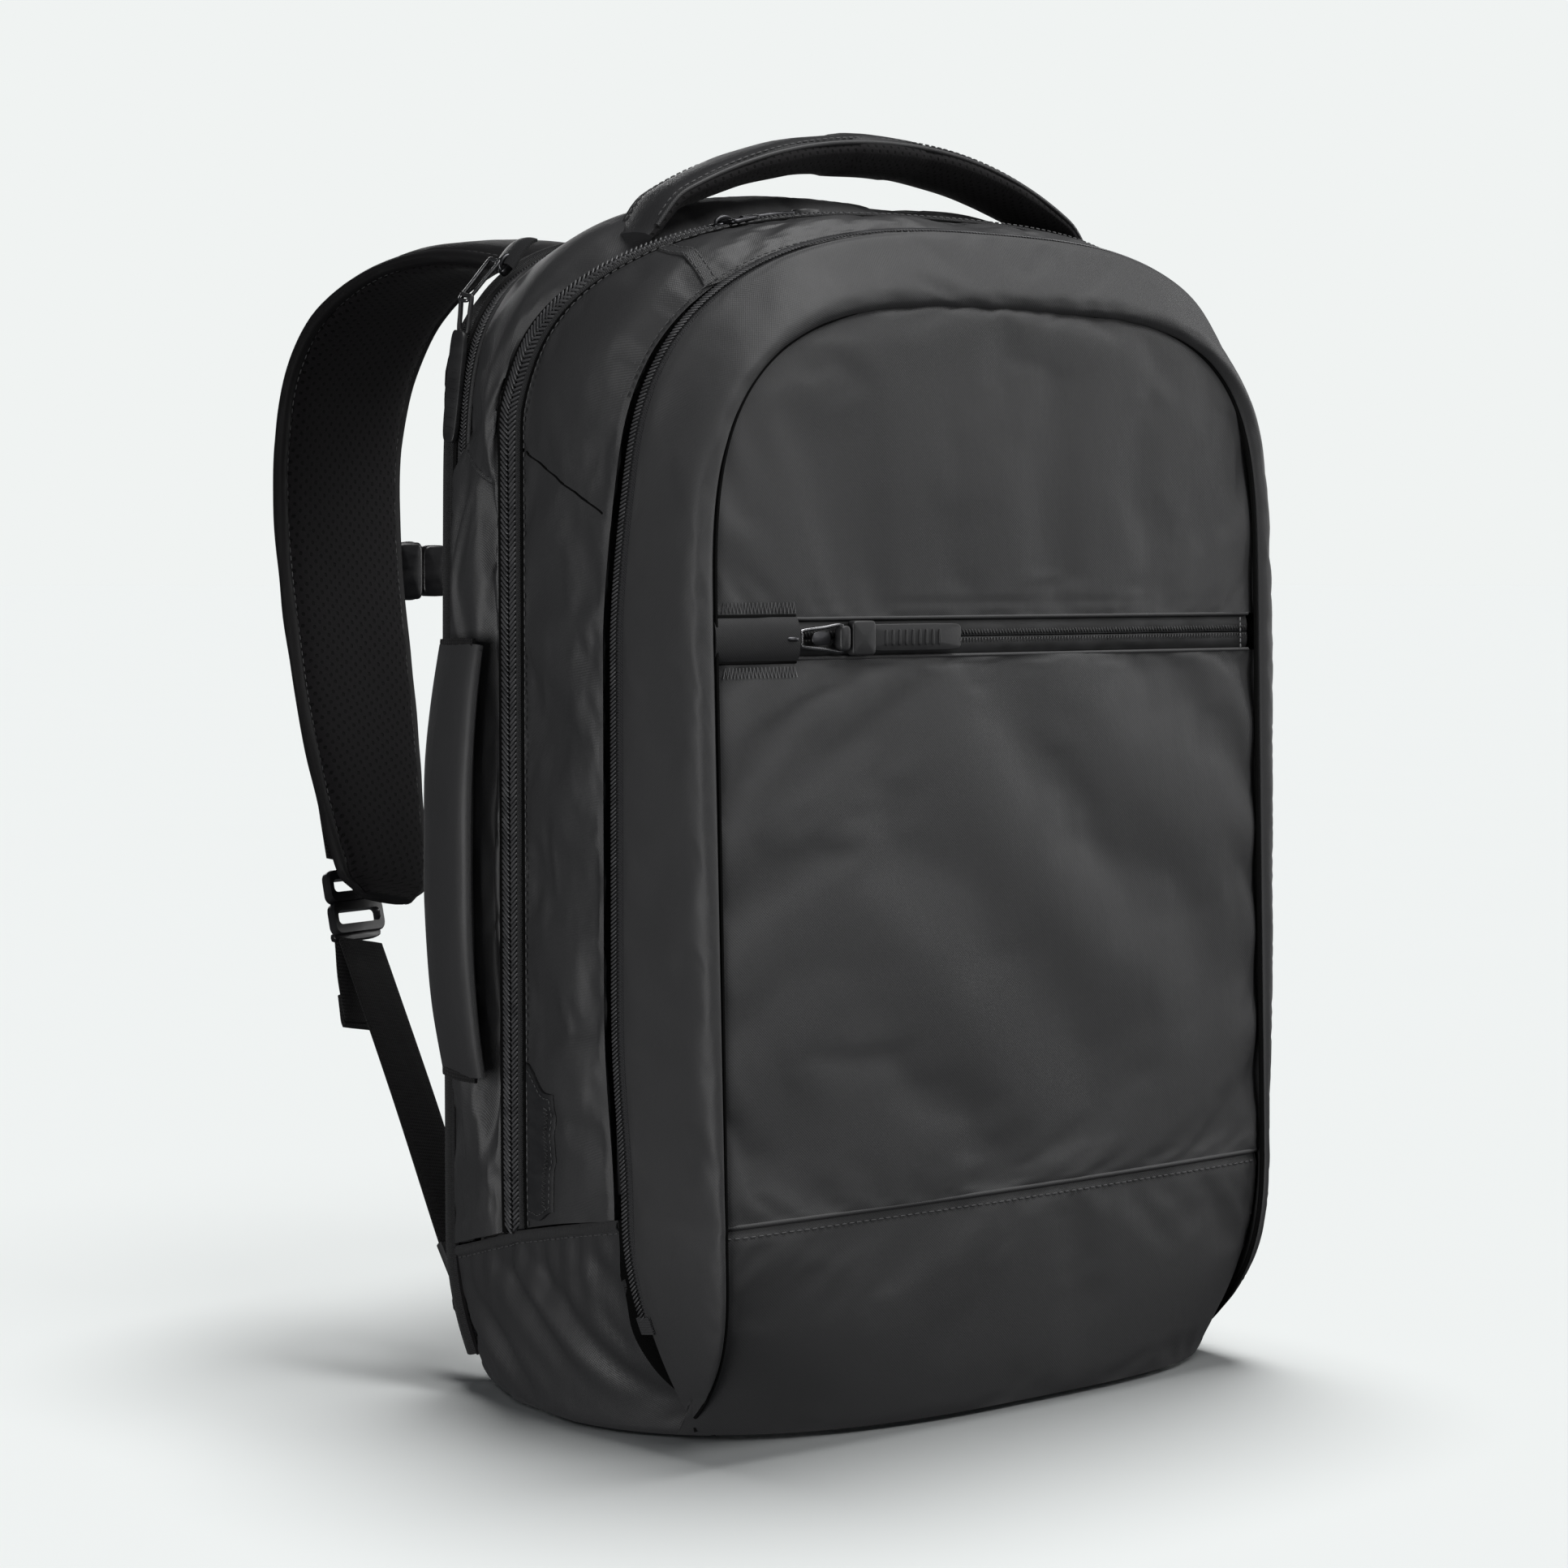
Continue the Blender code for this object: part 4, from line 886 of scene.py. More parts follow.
def front_band():
    """The padded band that frames the front face, with a rolled lip along its inner seam."""
    flare = 0.0058
    inner, outer = PANEL_SEAM.curve(ARCH, foot=BOOT_FRONT_Z), groove_curve(0, -flare)
    outer[:, 2] = np.maximum(outer[:, 2], inner[0, 2])
    outer[0] = groove_below(0, -1) + (0, -flare, 0)
    outer[-1] = groove_below(0, 1) + (0, -flare, 0)
    left, right = ([(panel_below(s, side), groove_below(s, side) + (0, -flare * (1 - s) ** 0.6, 0))
                    for s in np.linspace(0.985, 0.03, 34)] for side in (-1, 1))
    pairs = left + list(zip(inner, outer)) + right[::-1]
    a, b = np.array([p for p, q in pairs]), np.array([q for p, q in pairs])
    for _ in range(6):
        b[30:50] = (b[29:49] + b[30:50] * 2 + b[31:51]) / 4
        b[-50:-30] = (b[-51:-31] + b[-50:-30] * 2 + b[-49:-29]) / 4
    face = np.array(((0.0, 0.0), (-0.040, 0.0018), (-0.062, 0.0050), (-0.050, 0.0088),
                     (-0.010, 0.0112), (0.05, 0.0120), (0.14, 0.0118), (0.26, 0.0104),
                     (0.40, 0.0086), (0.55, 0.0066), (0.72, 0.0044), (0.86, 0.0026),
                     (0.95, 0.0012), (1.0, 0.0)))
    face = smooth_line(np.concatenate([face, np.zeros((len(face), 1))], 1), 2)[:, :2]
    behind = ((0.93, -0.0030), (0.5, 0.0030), (0.12, 0.0045), (0.03, 0.0010))
    chord = b - a
    out = unit_rows(np.cross(chord, np.gradient((a + b) / 2, axis=0)))
    out *= np.sign((out * (a - MIDDLE)).sum(1))[:, None]
    share = np.clip((a[:, 2] - BOOT_FRONT_Z) / (0.33 - BOOT_FRONT_Z), 0, 1)
    size = np.linalg.norm(chord, axis=1) / 0.049 * (0.40 + 0.50 * share ** 0.8)

    def sections(profile):
        return np.array([a + chord * f + out * (h * size)[:, None] for f, h in profile])
    skin = sections(face)
    n, v = outward_normals(skin, (0, 0.05, 0.22)), down_rows(skin)
    soft = 0.0007 * value_noise(skin * (1, 1, 0.5), 26, 5.5) * np.sin(math.pi * v)
    pucker = 0.0005 * value_noise(skin, 95, 1.5) * bell(v, 0.30, 0.16)
    pucker *= ramp(skin[..., 2], 0.24, 0.36)
    skin = skin + n * (soft + pucker)[..., None]
    held = edges_of(skin)
    held[:5], held[-2:] = True, True
    skin = settle(skin, held, 0.25, 0.004, 0.0006, 12, 15.0)
    # A near-black cord laid in the crease along the band's inner seam: painted shade of the seam.
    inward = np.array((0.0, 0.0, 0.24)) - a
    inward[:, 1] = 0
    crease = a + (0, -0.0012, 0) + unit_rows(inward) * 0.0009
    put(tube("band_crease_shade", crease, 0.0009, "seam_shadow", 6), "front_panel",
        slot="coated_fabric")
    rings = np.concatenate([skin, sections(behind)]).transpose(1, 0, 2)
    put(closed_loft("front_band_pad", rings, "band_fabric"), "front_panel", "front_band",
        padded=0.7)


def cosine_rows(t):
    """Spacing from 0 to 1 that is a little finer at both ends."""
    return 0.5 * t + 0.5 * (0.5 - 0.5 * math.cos(math.pi * t))


def front_panels():
    """The three cloth panels of the front face, slightly slack between their seams."""
    grids, half, columns = {}, PANEL_SEAM.half + 0.0022, 110
    xs = -half * np.cos(math.pi * np.arange(columns) / (columns - 1))
    for name, low, high, rows in (("upper", ZIP_TOP, None, 60),
                                  ("lower", BOOT_FRONT_Z + 0.0006, ZIP_LOW, 84)):
        grid = np.zeros((rows, columns, 3))
        for i, x in enumerate(xs):
            top = high or max(low + 0.0035, PANEL_SEAM.top_at(x * 0.985) + 0.0016)
            for j in range(rows):
                z = low + (top - low) * cosine_rows(j / (rows - 1))
                grid[j, i] = (x, front_face(x, z), z)
        n, x, z = outward_normals(grid), grid[..., 0], grid[..., 2]
        seam = np.abs(np.abs(x) - half + 0.0018)
        slant = 0.0009 * np.sin((x * 0.55 + z) * 62 + 2.2 * np.sin(x * 17)) * bell(z, 0.205, 0.09)
        if name == "upper":
            seam = np.minimum(seam, z[-1:] - z)
        tension = 0.0006 * np.sin(z * 150 + 40 * np.abs(x)) * bell(seam, 0.006, 0.012)
        if name == "upper":
            slant = 0.0
            tension = tension * 0.7 - 0.0005 * bell(z, 0.3192, 0.0016) * bell(x, 0.0, 0.10)
        else:
            slant *= ramp(x, -0.14, -0.02)
        dip = -0.0022 * bell(seam, 0, 0.0034)
        folds = 0.0011 * value_noise(grid * (0.8, 1, 1.25), 13, 21.0)
        grid = grid + n * (dip + (folds + slant) * ramp(seam, 0.0, 0.02) + tension)[..., None]
        grid = settle(grid, edges_of(grid), 0.18, 0.004, 0.0009, 14, 30.0 + low)
        put(shell("panel_" + name + "_skin", grid, FACE_CLOTH, "front_fabric", (0, 0.5, 0.25)),
            "front_panel", "panel_" + name)
        grids[name] = grid
    boot_front(columns)
    return grids


# ---- zips --------------------------------------------------------------------------
def boot_front(columns):
    """The low front panel under the piped seam, down to the floor."""
    rows, inside = 36, (0, 0.05, 0.05)
    grid = np.zeros((rows, columns, 3))
    for j in range(rows):
        share = 0.995 * j / (rows - 1)
        for i in range(columns):
            along = -math.cos(math.pi * i / (columns - 1))
            edge = panel_below(share, -1 if along < 0 else 1)
            z = BOOT_FRONT_Z - 0.0008 + (0.0030 - BOOT_FRONT_Z) * j / (rows - 1)
            x = along * (abs(edge[0]) - 0.0010 * (1 - share))
            grid[j, i] = (x, front_face(x, z) + 0.0002, z)
    n, v = outward_normals(grid, inside), down_rows(grid)
    folds = 0.0006 * value_noise(grid * (0.7, 1, 1.3), 11, 41.0) * np.sin(math.pi * v)
    roll = -0.0010 * bell(v, 0, 0.03)
    side = -0.0016 * bell(np.abs(grid[..., 0]) - np.abs(grid[:, -1:, 0]), 0, 0.0040)
    grid = grid + n * (folds + roll + side)[..., None]
    grid = settle(grid, edges_of(grid), 0.12, 0.003, 0.0010, 12, 44.0)
    put(shell("boot_front_skin", grid, FACE_CLOTH, "front_fabric", (0, 0.5, 0.05)), "front_panel",
        "boot_front")
    line = np.stack([grid[0][:, 0], grid[0][:, 1] - 0.0004, np.full(columns, BOOT_FRONT_Z)], 1)
    put(tube("boot_piping", line + (0, -0.0004, 0), 0.0011, "band_fabric", 8), "front_panel")
    path, up = on_grid(grid, [(x, BOOT_FRONT_Z - 0.0042)
                              for x in np.linspace(line[3, 0], line[-4, 0], 90)], (0, 2))
    stitch("boot_front_stitch", path + (0, -0.0004, 0), up, 0.0036, (0.0024, 0.0007, 0.0007),
           "front_panel", slot="coated_fabric")


def main_zip():
    """The D-shaped main zip: slanted coil rows on their tapes beside a stitched, piped fold."""
    up = unit_rows(zip_curve(-0.010) - zip_curve())
    put(tube("main_zip_fold", zip_curve(-0.0006, 0.0022), 0.0013, "edge_roll", 8, 0.9, up),
        LID_FOLD)
    # A near-black cord at the foot of the fold: painted shade in the crease.
    put(tube("main_zip_crease_shade", zip_curve(-0.0002, 0.0002), 0.0006, "seam_shadow", 6), LID_FOLD)
    stitch("main_zip_stitch", zip_curve(-0.0012, -0.0026), up, STITCH_PITCH,
           SEAM_STITCH, LID_FOLD)
    for tag, body, first, last, shift, turn in (
            ("front", LID_FOLD, (0.0010, 0.0030), (0.0006, 0.0086), 0.0061, 0.70),
            ("rear", "root", (0.0006, 0.0090), (0.0016, 0.0164), 0.0115, -0.70)):
        tape = strip(zip_curve(*first), zip_curve(*last))
        put(shell("main_zip_tape_" + tag, tape, 0.0008, "zip_weave"), body,
            "main_zip_%s_tape" % tag)
        stitch("main_coil_" + tag, zip_curve(-0.0006, shift), up, 0.00205,
               (0.0062, 0.0012, 0.0013, math.pi / 2 - turn), body, "coil_nylon")
    put(tube("main_zip_shadow", zip_curve(0.0008, 0.0162), 0.0016, "seam_shadow", 6, 0.5, up),
        "root", slot="zip_tape")


def groove_zip():
    """The front compartment zip, half hidden in the gutter beside the band."""
    up = unit_rows(groove_curve(-0.010) - groove_curve())
    run_up = unit_rows(groove_run(-0.010) - groove_run())
    tape = np.array([groove_run(0.0014, -0.0052), groove_run(0.0002, -0.0040),
                     groove_run(0.0000, -0.0004), groove_run(0.0014, 0.0012)])
    put(shell("groove_tape_front", tape, 0.0009, "zip_weave"), "front_panel",
        "front_zip_front_tape")
    stitch("groove_coil", groove_run(-0.0012, -0.0014), run_up, 0.00155,
           (0.0042, 0.0009, 0.0009, 1.0), "front_panel", "coil_nylon")
    # The rear tape takes the near-black seam_shadow finish: painted shade of the deep groove.
    rear = strip(groove_curve(0.0052, 0.0014), groove_curve(0.0044, 0.0080))
    put(shell("groove_tape_rear", rear, 0.0009, "seam_shadow"), LID_FOLD,
        "front_zip_rear_tape", slot="zip_tape")
    for side, tag in SIDES:
        tab = [groove_below(t, side) + (side * 0.0006, -0.0020, 0) for t in (0.49, 0.53, 0.57)]
        webbing("groove_tab_" + tag, tab, (0.0085, 0.0016), (0, 1, 0), "front_panel", steps=6,
                material="zip_weave")
    for i, shift in enumerate((0.0082, 0.0118)):
        line = groove_curve(-0.0012, shift)
        keep = line[:, 2] > 0.395
        stitch("groove_stitch_%d" % i, line[keep], up[keep], STITCH_PITCH, SEAM_STITCH,
               "lid")


def laptop_zip():
    """The laptop zip along the back edge, under a cover low down."""
    up = unit_rows(BACK_SEAM.curve(ARCH, -0.010) - BACK_SEAM.curve(ARCH))
    tape = strip(BACK_SEAM.curve(ARCH, 0.0012, -LAPTOP_ZIP - 0.0006),
                 BACK_SEAM.curve(ARCH, 0.0012, -0.0006))
    put(shell("laptop_tape", tape, 0.0010, "zip_weave"), "root", "laptop_zip_tape")
    for tag, shift, turn in (("front", -0.0058, 0.6), ("rear", -0.0034, -0.6)):
        row = BACK_SEAM.curve(ARCH, 0.0004, shift)
        shown = row[:, 2] > 0.376
        stitch("laptop_coil_" + tag, row[shown], up[shown], 0.0015,
               (0.0030, 0.0008, 0.0010, math.pi / 2 - turn), "root", "coil_nylon")
    row = BACK_SEAM.curve(ARCH, 0.0004, -LAPTOP_ZIP - 0.0002)
    put(tube("laptop_zip_fold", row[row[:, 2] > 0.380], 0.0010, "gusset_fabric", 8), "root")


def pocket_zip(grids):
    """The pocket zip across the front: coated tape halves that meet at a fine line."""
    half, forward = 0.1402, (0.0, -1.0, 0.0)
    xs, garage_xs = np.linspace(-half, half, 120), np.linspace(-0.1445, -0.1050, 24)

    def line(z, back, xs=xs):
        return np.array([(x, front_face(x, z) + back, z) for x in xs])
    for tag, ends, nodes in (
            ("low", ((ZIP_LOW + 0.0002, 0.0018), (ZIP_Z - 0.00025, 0.0008)), ("pocket_zip_tape",)),
            ("high", ((ZIP_Z + 0.00025, 0.0008), (ZIP_TOP - 0.0002, 0.0018)), ())):
        tape = strip(line(*ends[0]), line(*ends[1]), 4)
        tape[1:3, :, 1] -= 0.0006
        put(shell("pocket_tape_" + tag, tape, 0.0008, "zip_film", (0, 0.5, 0.3)), "front_panel",
            *nodes)
    for tag, dz, turn in (("low", -0.0016, 1.9), ("high", 0.0016, 1.2)):
        stitch("pocket_teeth_" + tag, line(ZIP_Z + dz, 0.0006), forward, 0.0016,
               (0.0022, 0.0008, 0.0006, turn), "front_panel", "zip_film")
    for tag, z in (("top", ZIP_TOP - 0.0002), ("low", ZIP_LOW + 0.0002)):
        put(tube("pocket_edge_" + tag, line(z, 0.0003), 0.0008, "front_fabric", 8),
            "front_panel")
    garage = []
    for z in np.linspace(ZIP_LOW - 0.0006, ZIP_TOP + 0.0006, 12):
        part = min(max((z - ZIP_LOW) / (ZIP_TOP - ZIP_LOW), 0.0), 1.0)
        bulge = 0.0021 * math.sqrt(max(0.0, math.sin(math.pi * part))) + 0.0004
        garage.append([(x, front_face(x, z) - bulge - 0.0008 * ramp(x, -0.125, -0.108), z)
                       for x in garage_xs])
    put(shell("garage_flap", garage, 0.0012, "garage_cloth", (0, 0.5, 0.3)), "front_panel",
        "pocket_zip_garage")
    # Near-black cords along the flap's top and bottom edges are painted shade where the flap meets
    # the panel; light thread bartacks hold it.
    for tag, edge_z, tack_z, panel in (("top", ZIP_TOP + 0.0010, 0.3177, "upper"),
                                       ("low", ZIP_LOW - 0.0010, 0.2937, "lower")):
        put(tube("garage_crease_shade_" + tag, line(edge_z, -0.0002, garage_xs), 0.00065,
                 "seam_shadow", 6), "front_panel", slot="coated_fabric")
        zigzag = [(-0.1395 + 0.0345 * i / 40, tack_z + 0.0019 * (1 if i % 2 else -1))
                  for i in range(41)]
        path, up = on_grid(grids[panel], zigzag, (0, 2))
        put(tube("bartack_" + tag, path + up * 0.0004, 0.00026, "light_thread", 5),
            "front_panel")
    end = [(0.1354, front_face(0.1354, z) - 0.0002, z)
           for z in np.linspace(ZIP_LOW + 0.0006, ZIP_TOP - 0.0006, 12)]
    stitch("pocket_end_stitch", end, forward, 0.0022, (0.0017, 0.0006, 0.0006), "front_panel",
           "light_thread", "zip_tape")


# ---- straps and handles ------------------------------------------------------------
def path_frames(path, across):
    """Unit directions across a path and out of its face."""
    ahead = unit_rows(np.gradient(path, axis=0))
    side = unit_rows(across - ahead * (across * ahead).sum(1, keepdims=True))
    return side, np.cross(ahead, side)


def section_rings(path, wide, face, widths, thick, profile):
    """Rings of a pad: profile points are shares of half the width and of the thickness."""
    return np.array([path + wide * (widths * a / 2)[:, None] + face * (thick * h)[:, None]
                     for a, h in profile]).transpose(1, 0, 2)


def ring_normals(rings, face, column):
    """Normals of a pad's rings, which point along its face at the given column."""
    n, middle = normals_of(rings, wrap=True), len(rings) // 2
    return -n if n[middle, column] @ face[middle] < 0 else n


def second_finish(obj, columns, test):
    """Gives the faces whose ring columns pass the test the second material."""
    for polygon in obj.data.polygons:
        at = [v % columns for v in polygon.vertices]
        if len(at) == 4 and test(min(at), max(at)):
            polygon.material_index = 1


def mirrored(half):
    """A symmetrical profile from the half that is written out."""
    return half + [(-a, h) for a, h in reversed(half) if a]


def shoulder_strap(side, tag):
    """A foam strap: smooth coated outer skin, air mesh inside, bound edges."""
    body = "strap_" + tag
    path = smooth_line([(side * x, y, z) for x, y, z, _ in STRAP_ROUTE], 8)
    count = len(path)
    share = np.linspace(0, 1, count)
    widths = np.interp(share, np.linspace(0, 1, len(STRAP_ROUTE)), [r[3] for r in STRAP_ROUTE])
    widths = widths * (1 - 0.35 * ramp(share, 0.965, 1.0) ** 2)
    fuller = 0.0120 * ramp(share, 0.12, 0.42) * ramp(-share, -0.97, -0.70)
    widths = widths + fuller
    path[:, 0] -= side * fuller * 0.42
    wide, face = path_frames(path, np.stack([np.full(count, -side),
                                             0.30 * np.minimum(1, share * 2),
                                             0.10 * (1 - share)], 1))
    face = face * side
    thick = 0.0060 * (1 - 0.30 * ramp(-share, -0.03, 0.0) - 0.35 * ramp(share, 0.95, 1.0))
    out = mirrored([(-1.0, 0.0), (-0.985, 0.30), (-0.93, 0.50), (-0.87, 0.46), (-0.84, 0.62),
                    (-0.62, 0.92), (-0.3, 1.04), (0.0, 1.08)])
    inner = mirrored([(0.985, -0.30), (0.93, -0.50), (0.87, -0.42), (0.84, -0.62),
                      (0.70, -0.88), (0.45, -1.0), (0.15, -1.0)])
    rings = section_rings(path, wide, face, widths, thick, out + inner)
    n = ring_normals(rings, face, 7)
    lumps = 0.0007 * value_noise(rings, 38, 60.0 + side)
    quilt = 0.0004 * np.sin(share * 2 * math.pi * 26)[:, None] * np.array(
        [bell(abs(u), 0.78, 0.08) for u, _ in out + inner])[None]
    skin = closed_loft("strap_pad_" + tag, rings + n * (lumps * 0.8 + quilt)[..., None],
                       ("strap_skin", "air_mesh"))
    columns, first = len(out) + len(inner), len(out) + 2
    second_finish(skin, columns, lambda low, high: low >= first and high <= columns - 3
                  and high - low == 1)
    put(skin, body, "shoulder_strap_" + tag, padded=0.8)
    for edge in (-1, 1):
        line = path + wide * (widths * edge * 0.872 / 2)[:, None]
        for tip, height in (("out", 0.46), ("in", -0.42)):
            row = line + face * (thick * height)[:, None]
            stitch("strap_stitch_%s_%s_%s" % (tag, tip, "ab"[edge > 0]), row[3:-3],
                   face[3:-3] * np.sign(height), 0.0036, PAD_STITCH, body,
                   slot="mesh_fabric")
    for name, at in ((tag, 0.66), (tag + "_upper", 0.30)):
        i = int(at * (count - 1))
        centre = path[i] + face[i] * (thick[i] * 1.06 + 0.0007)
        line = np.array([centre + wide[i] * t for t in np.linspace(-0.014, 0.014, 9)])
        line = line + face[i] * (0.0004 - 0.0012 * np.linspace(-1, 1, 9)[:, None] ** 2)
        across = unit_rows(np.cross(face[i], np.gradient(line, axis=0)))
        put(flat_band("strap_tack_" + name, line, across, face[i], (0.016, 0.0014)), body)


def flat_band(name, path, wide, face, size, material="webbing_weave"):
    """Flat webbing of a width and a thickness, with softly rounded edges."""
    profile = ((-1, 0.0), (-0.96, 0.42), (-0.5, 0.5), (0, 0.5), (0.5, 0.5), (0.96, 0.42), (1, 0.0),
               (0.96, -0.42), (0.5, -0.5), (0, -0.5), (-0.5, -0.5), (-0.96, -0.42))
    width, thickness = (np.full(len(path), part) for part in size)
    return closed_loft(name, section_rings(path, np.asarray(wide), np.asarray(face), width,
                                           thickness, profile), material)


def webbing(name, points, size, flat, body, *nodes, steps=10, material="webbing_weave",
            slot=None):
    """Webbing that runs smoothly through a few points."""
    path = smooth_line(points, steps)
    return put(flat_band(name, path, *path_frames(path, np.asarray(flat, float)), size, material),
               body, *nodes, slot=slot)


def adjuster(side, tag):
    """Ladder lock, its webbing and the anchor tab at the foot of the bag."""
    strap, body = "strap_" + tag, "ladder_lock_" + tag
    flat = np.array((side, -0.28, 0.0)) / math.hypot(1, 0.28)
    lock = np.array((side * 0.1165, 0.2020, 0.1880))
    slope = unit((side * -0.10, 0.42, 0.90))
    out = np.cross(flat, slope)
    out *= np.sign(out[1])
    top, low = lock + slope * 0.017, lock - slope * 0.017
    webbing("lock_webbing_" + tag, [top + slope * 0.0014, top + slope * 0.020,
                                    top + slope * 0.052 - out * 0.0003],
            (0.025, 0.0017), flat, strap, "strap_webbing_" + tag)
    start = low - slope * 0.0016
    anchor = np.array((side * 0.1280, 0.1060, 0.0560))
    middle = (start + anchor) / 2 + (0, -0.003, -0.003)
    into = anchor + np.array((side * 0.0010, -0.0125, -0.0140))
    webbing("adjuster_strap_" + tag, [start, middle, anchor, into], (0.025, 0.0017), flat,
            ("root", strap, tuple(anchor), tuple(start)), "adjuster_webbing_" + tag)
    tail = [start + out * 0.0035 - slope * 0.0005, start + out * 0.0050 - slope * 0.016,
            start + out * 0.0044 - slope * 0.036]
    webbing("webbing_tail_" + tag, tail, (0.0245, 0.0017), flat, strap)
    fold = tail[-1] + slope * 0.004
    webbing("webbing_tail_fold_" + tag, [fold + out * 0.0018 + slope * 0.008,
                                         fold + out * 0.0021 - slope * 0.001,
                                         fold + out * 0.0012 - slope * 0.006],
            (0.0245, 0.0026), flat, strap)
    tab_end = np.array((side * 0.1290, 0.0935, 0.0420))
    webbing("anchor_tab_" + tag, [tab_end, anchor + (tab_end - anchor) * 0.22],
            (0.0270, 0.0035), flat, "root", "strap_anchor_" + tag, steps=6,
            material="gusset_fabric", slot="webbing")
    axes = (flat, slope, out)
    window("ladder_lock_upper_" + tag, lock + slope * 0.0072, axes, (0.0330, 0.0150),
           (0.0258, 0.0056), 0.0048, body, "ladder_lock_" + tag)
    window("ladder_lock_lower_" + tag, lock - slope * 0.0074, axes, (0.0330, 0.0148),
           (0.0258, 0.0060), 0.0044, body)
    bar("ladder_lock_lip_" + tag, lock - slope * 0.0150 + out * 0.0020, axes,
        (0.0300, 0.0052, 0.0030), body)
    for k in (-1, 1):
        bar("ladder_lock_rib_%s_%s" % (tag, "ab"[k > 0]),
            lock + slope * 0.0135 + flat * (k * 0.0100) + out * 0.0024, axes,
            (0.0050, 0.0016, 0.0010), body)


def window(name, centre, axes, size, hole, depth, body, *nodes, corner=0.004):
    """A flat moulded ring: rounded rectangle with a rounded window."""
    def outline(a, b, r, count=8):
        pts = []
        for cx, cy, start in ((1, 1, 0), (-1, 1, 90), (-1, -1, 180), (1, -1, 270)):
            for k in range(count):
                t = math.radians(start + 90 * k / (count - 1))
                pts.append((cx * (a / 2 - r) + r * math.cos(t), cy * (b / 2 - r) + r * math.sin(t)))
        return np.array(pts)
    u, v, w = axes
    outer = outline(size[0], size[1], corner)
    inner = outline(hole[0], hole[1], min(corner * 0.6, hole[1] * 0.35))
    edge = min(0.0009, depth * 0.3)
    inner_lip, outer_lip = inner * (1 + edge / hole[0]), outer * (1 - 2 * edge / size[0])
    sections = [(inner, -depth / 2 + edge), (inner_lip, -depth / 2), (outer_lip, -depth / 2),
                (outer, -depth / 2 + edge), (outer, depth / 2 - edge), (outer_lip, depth / 2),
                (inner_lip, depth / 2), (inner, depth / 2 - edge)]
    rings = np.array([[centre + u * p[0] + v * p[1] + w * h for p in pts]
                      for pts, h in sections]).transpose(1, 0, 2)
    put(ring_solid(name, rings, "black_plastic", None, 40), body, *nodes)


def bar(name, centre, axes, size, body, *nodes, material="black_plastic", power=4.0,
        segments=20, taper=1.0):
    """A moulded bar: superellipse outline, rounded top and bottom edges."""
    u, v, w = axes
    a = np.linspace(0, 2 * math.pi, segments, endpoint=False)
    ex = np.sign(np.cos(a)) * np.abs(np.cos(a)) ** (2 / power)
    ey = np.sign(np.sin(a)) * np.abs(np.sin(a)) ** (2 / power)
    edge, width = min(size) * 0.18, 1 - (1 - taper) * (ex + 1) / 2
    slim = edge / size[2]
    rings = [[centre + u * (x * (size[0] / 2 - inset)) + v * (y * (size[1] / 2 - inset) * k)
              + w * (h * size[2]) for x, y, k in zip(ex, ey, width)]
             for inset, h in ((edge, -0.5), (edge * 0.3, -0.5 + 0.3 * slim), (0.0, -0.5 + slim),
                              (0.0, 0.5 - slim), (edge * 0.3, 0.5 - 0.3 * slim), (edge, 0.5))]
    put(closed_loft(name, rings, material), body, *nodes)


def top_handle():
    """Padded grab handle: coated skin above, fine mesh below, piped and stitched edges."""
    foot, height, count = 0.1150, 0.0302, 96
    u = np.linspace(-1, 1, count)
    u = np.sin(u * math.pi / 2) * 0.35 + u * 0.65
    dive = ramp(np.abs(u), 0.86, 1.0) ** 2
    path = np.stack([foot * u + np.sign(u) * 0.0030 * dive, np.full(count, HANDLE_Y),
                     HANDLE_FOOT_Z + height * (1 - np.abs(u) ** 2.1) - 0.0100 * dive], 1)
    wide, face = path_frames(path, np.array((0.0, 1.0, 0.0)))
    face *= np.sign(face[:, 2])[:, None]
    full = 1 - np.abs(u) ** 3
    widths, thick = 0.0240 + 0.0120 * full, 0.0030 + 0.0042 * full
    out = mirrored([(-1.0, -0.10), (-1.0, 0.22), (-0.93, 0.50), (-0.78, 0.78), (-0.5, 0.97),
                    (-0.2, 1.05)])
    under = mirrored([(0.90, -0.36), (0.80, -0.62), (0.55, -0.92), (0.2, -1.0)])
    rings = section_rings(path, wide, face, widths, thick, out + under)
    n = ring_normals(rings, face, 5)
    rings = rings + n * (0.0007 * value_noise(rings, 45, 80.0))[..., None]
    patch = (ramp(rings[..., 0], -0.019, -0.0170) * ramp(-rings[..., 0], -0.019, -0.0170))
    rings = rings + n * (0.0006 * patch)[..., None]
    pad = closed_loft("top_handle_pad", rings, ("handle_skin", "fine_mesh"))
    columns = len(out) + len(under)
    second_finish(pad, columns, lambda low, high: low == 0 and high == columns - 1
                  or high <= 2 or low >= len(out) - 3)
    put(pad, HANDLE_FOLD, "top_handle", padded=0.85)
    for edge, tag in ((-1, "front"), (1, "rear")):
        rim = path + wide * (widths * edge * 0.945 / 2)[:, None] + face * (thick * 0.50)[:, None]
        put(tube("handle_piping_" + tag, rim[2:-2], 0.0011, "handle_skin", 8), HANDLE_FOLD)
        line = path + wide * (widths * edge * 0.815 / 2)[:, None] + face * (thick * 0.76)[:, None]
        outward = (face * 0.6 + wide * edge * 0.8)[3:-3]
        stitch("handle_stitch_" + tag, line[3:-3] + outward * 0.0003, outward, STITCH_PITCH,
               BOLD_STITCH, HANDLE_FOLD)


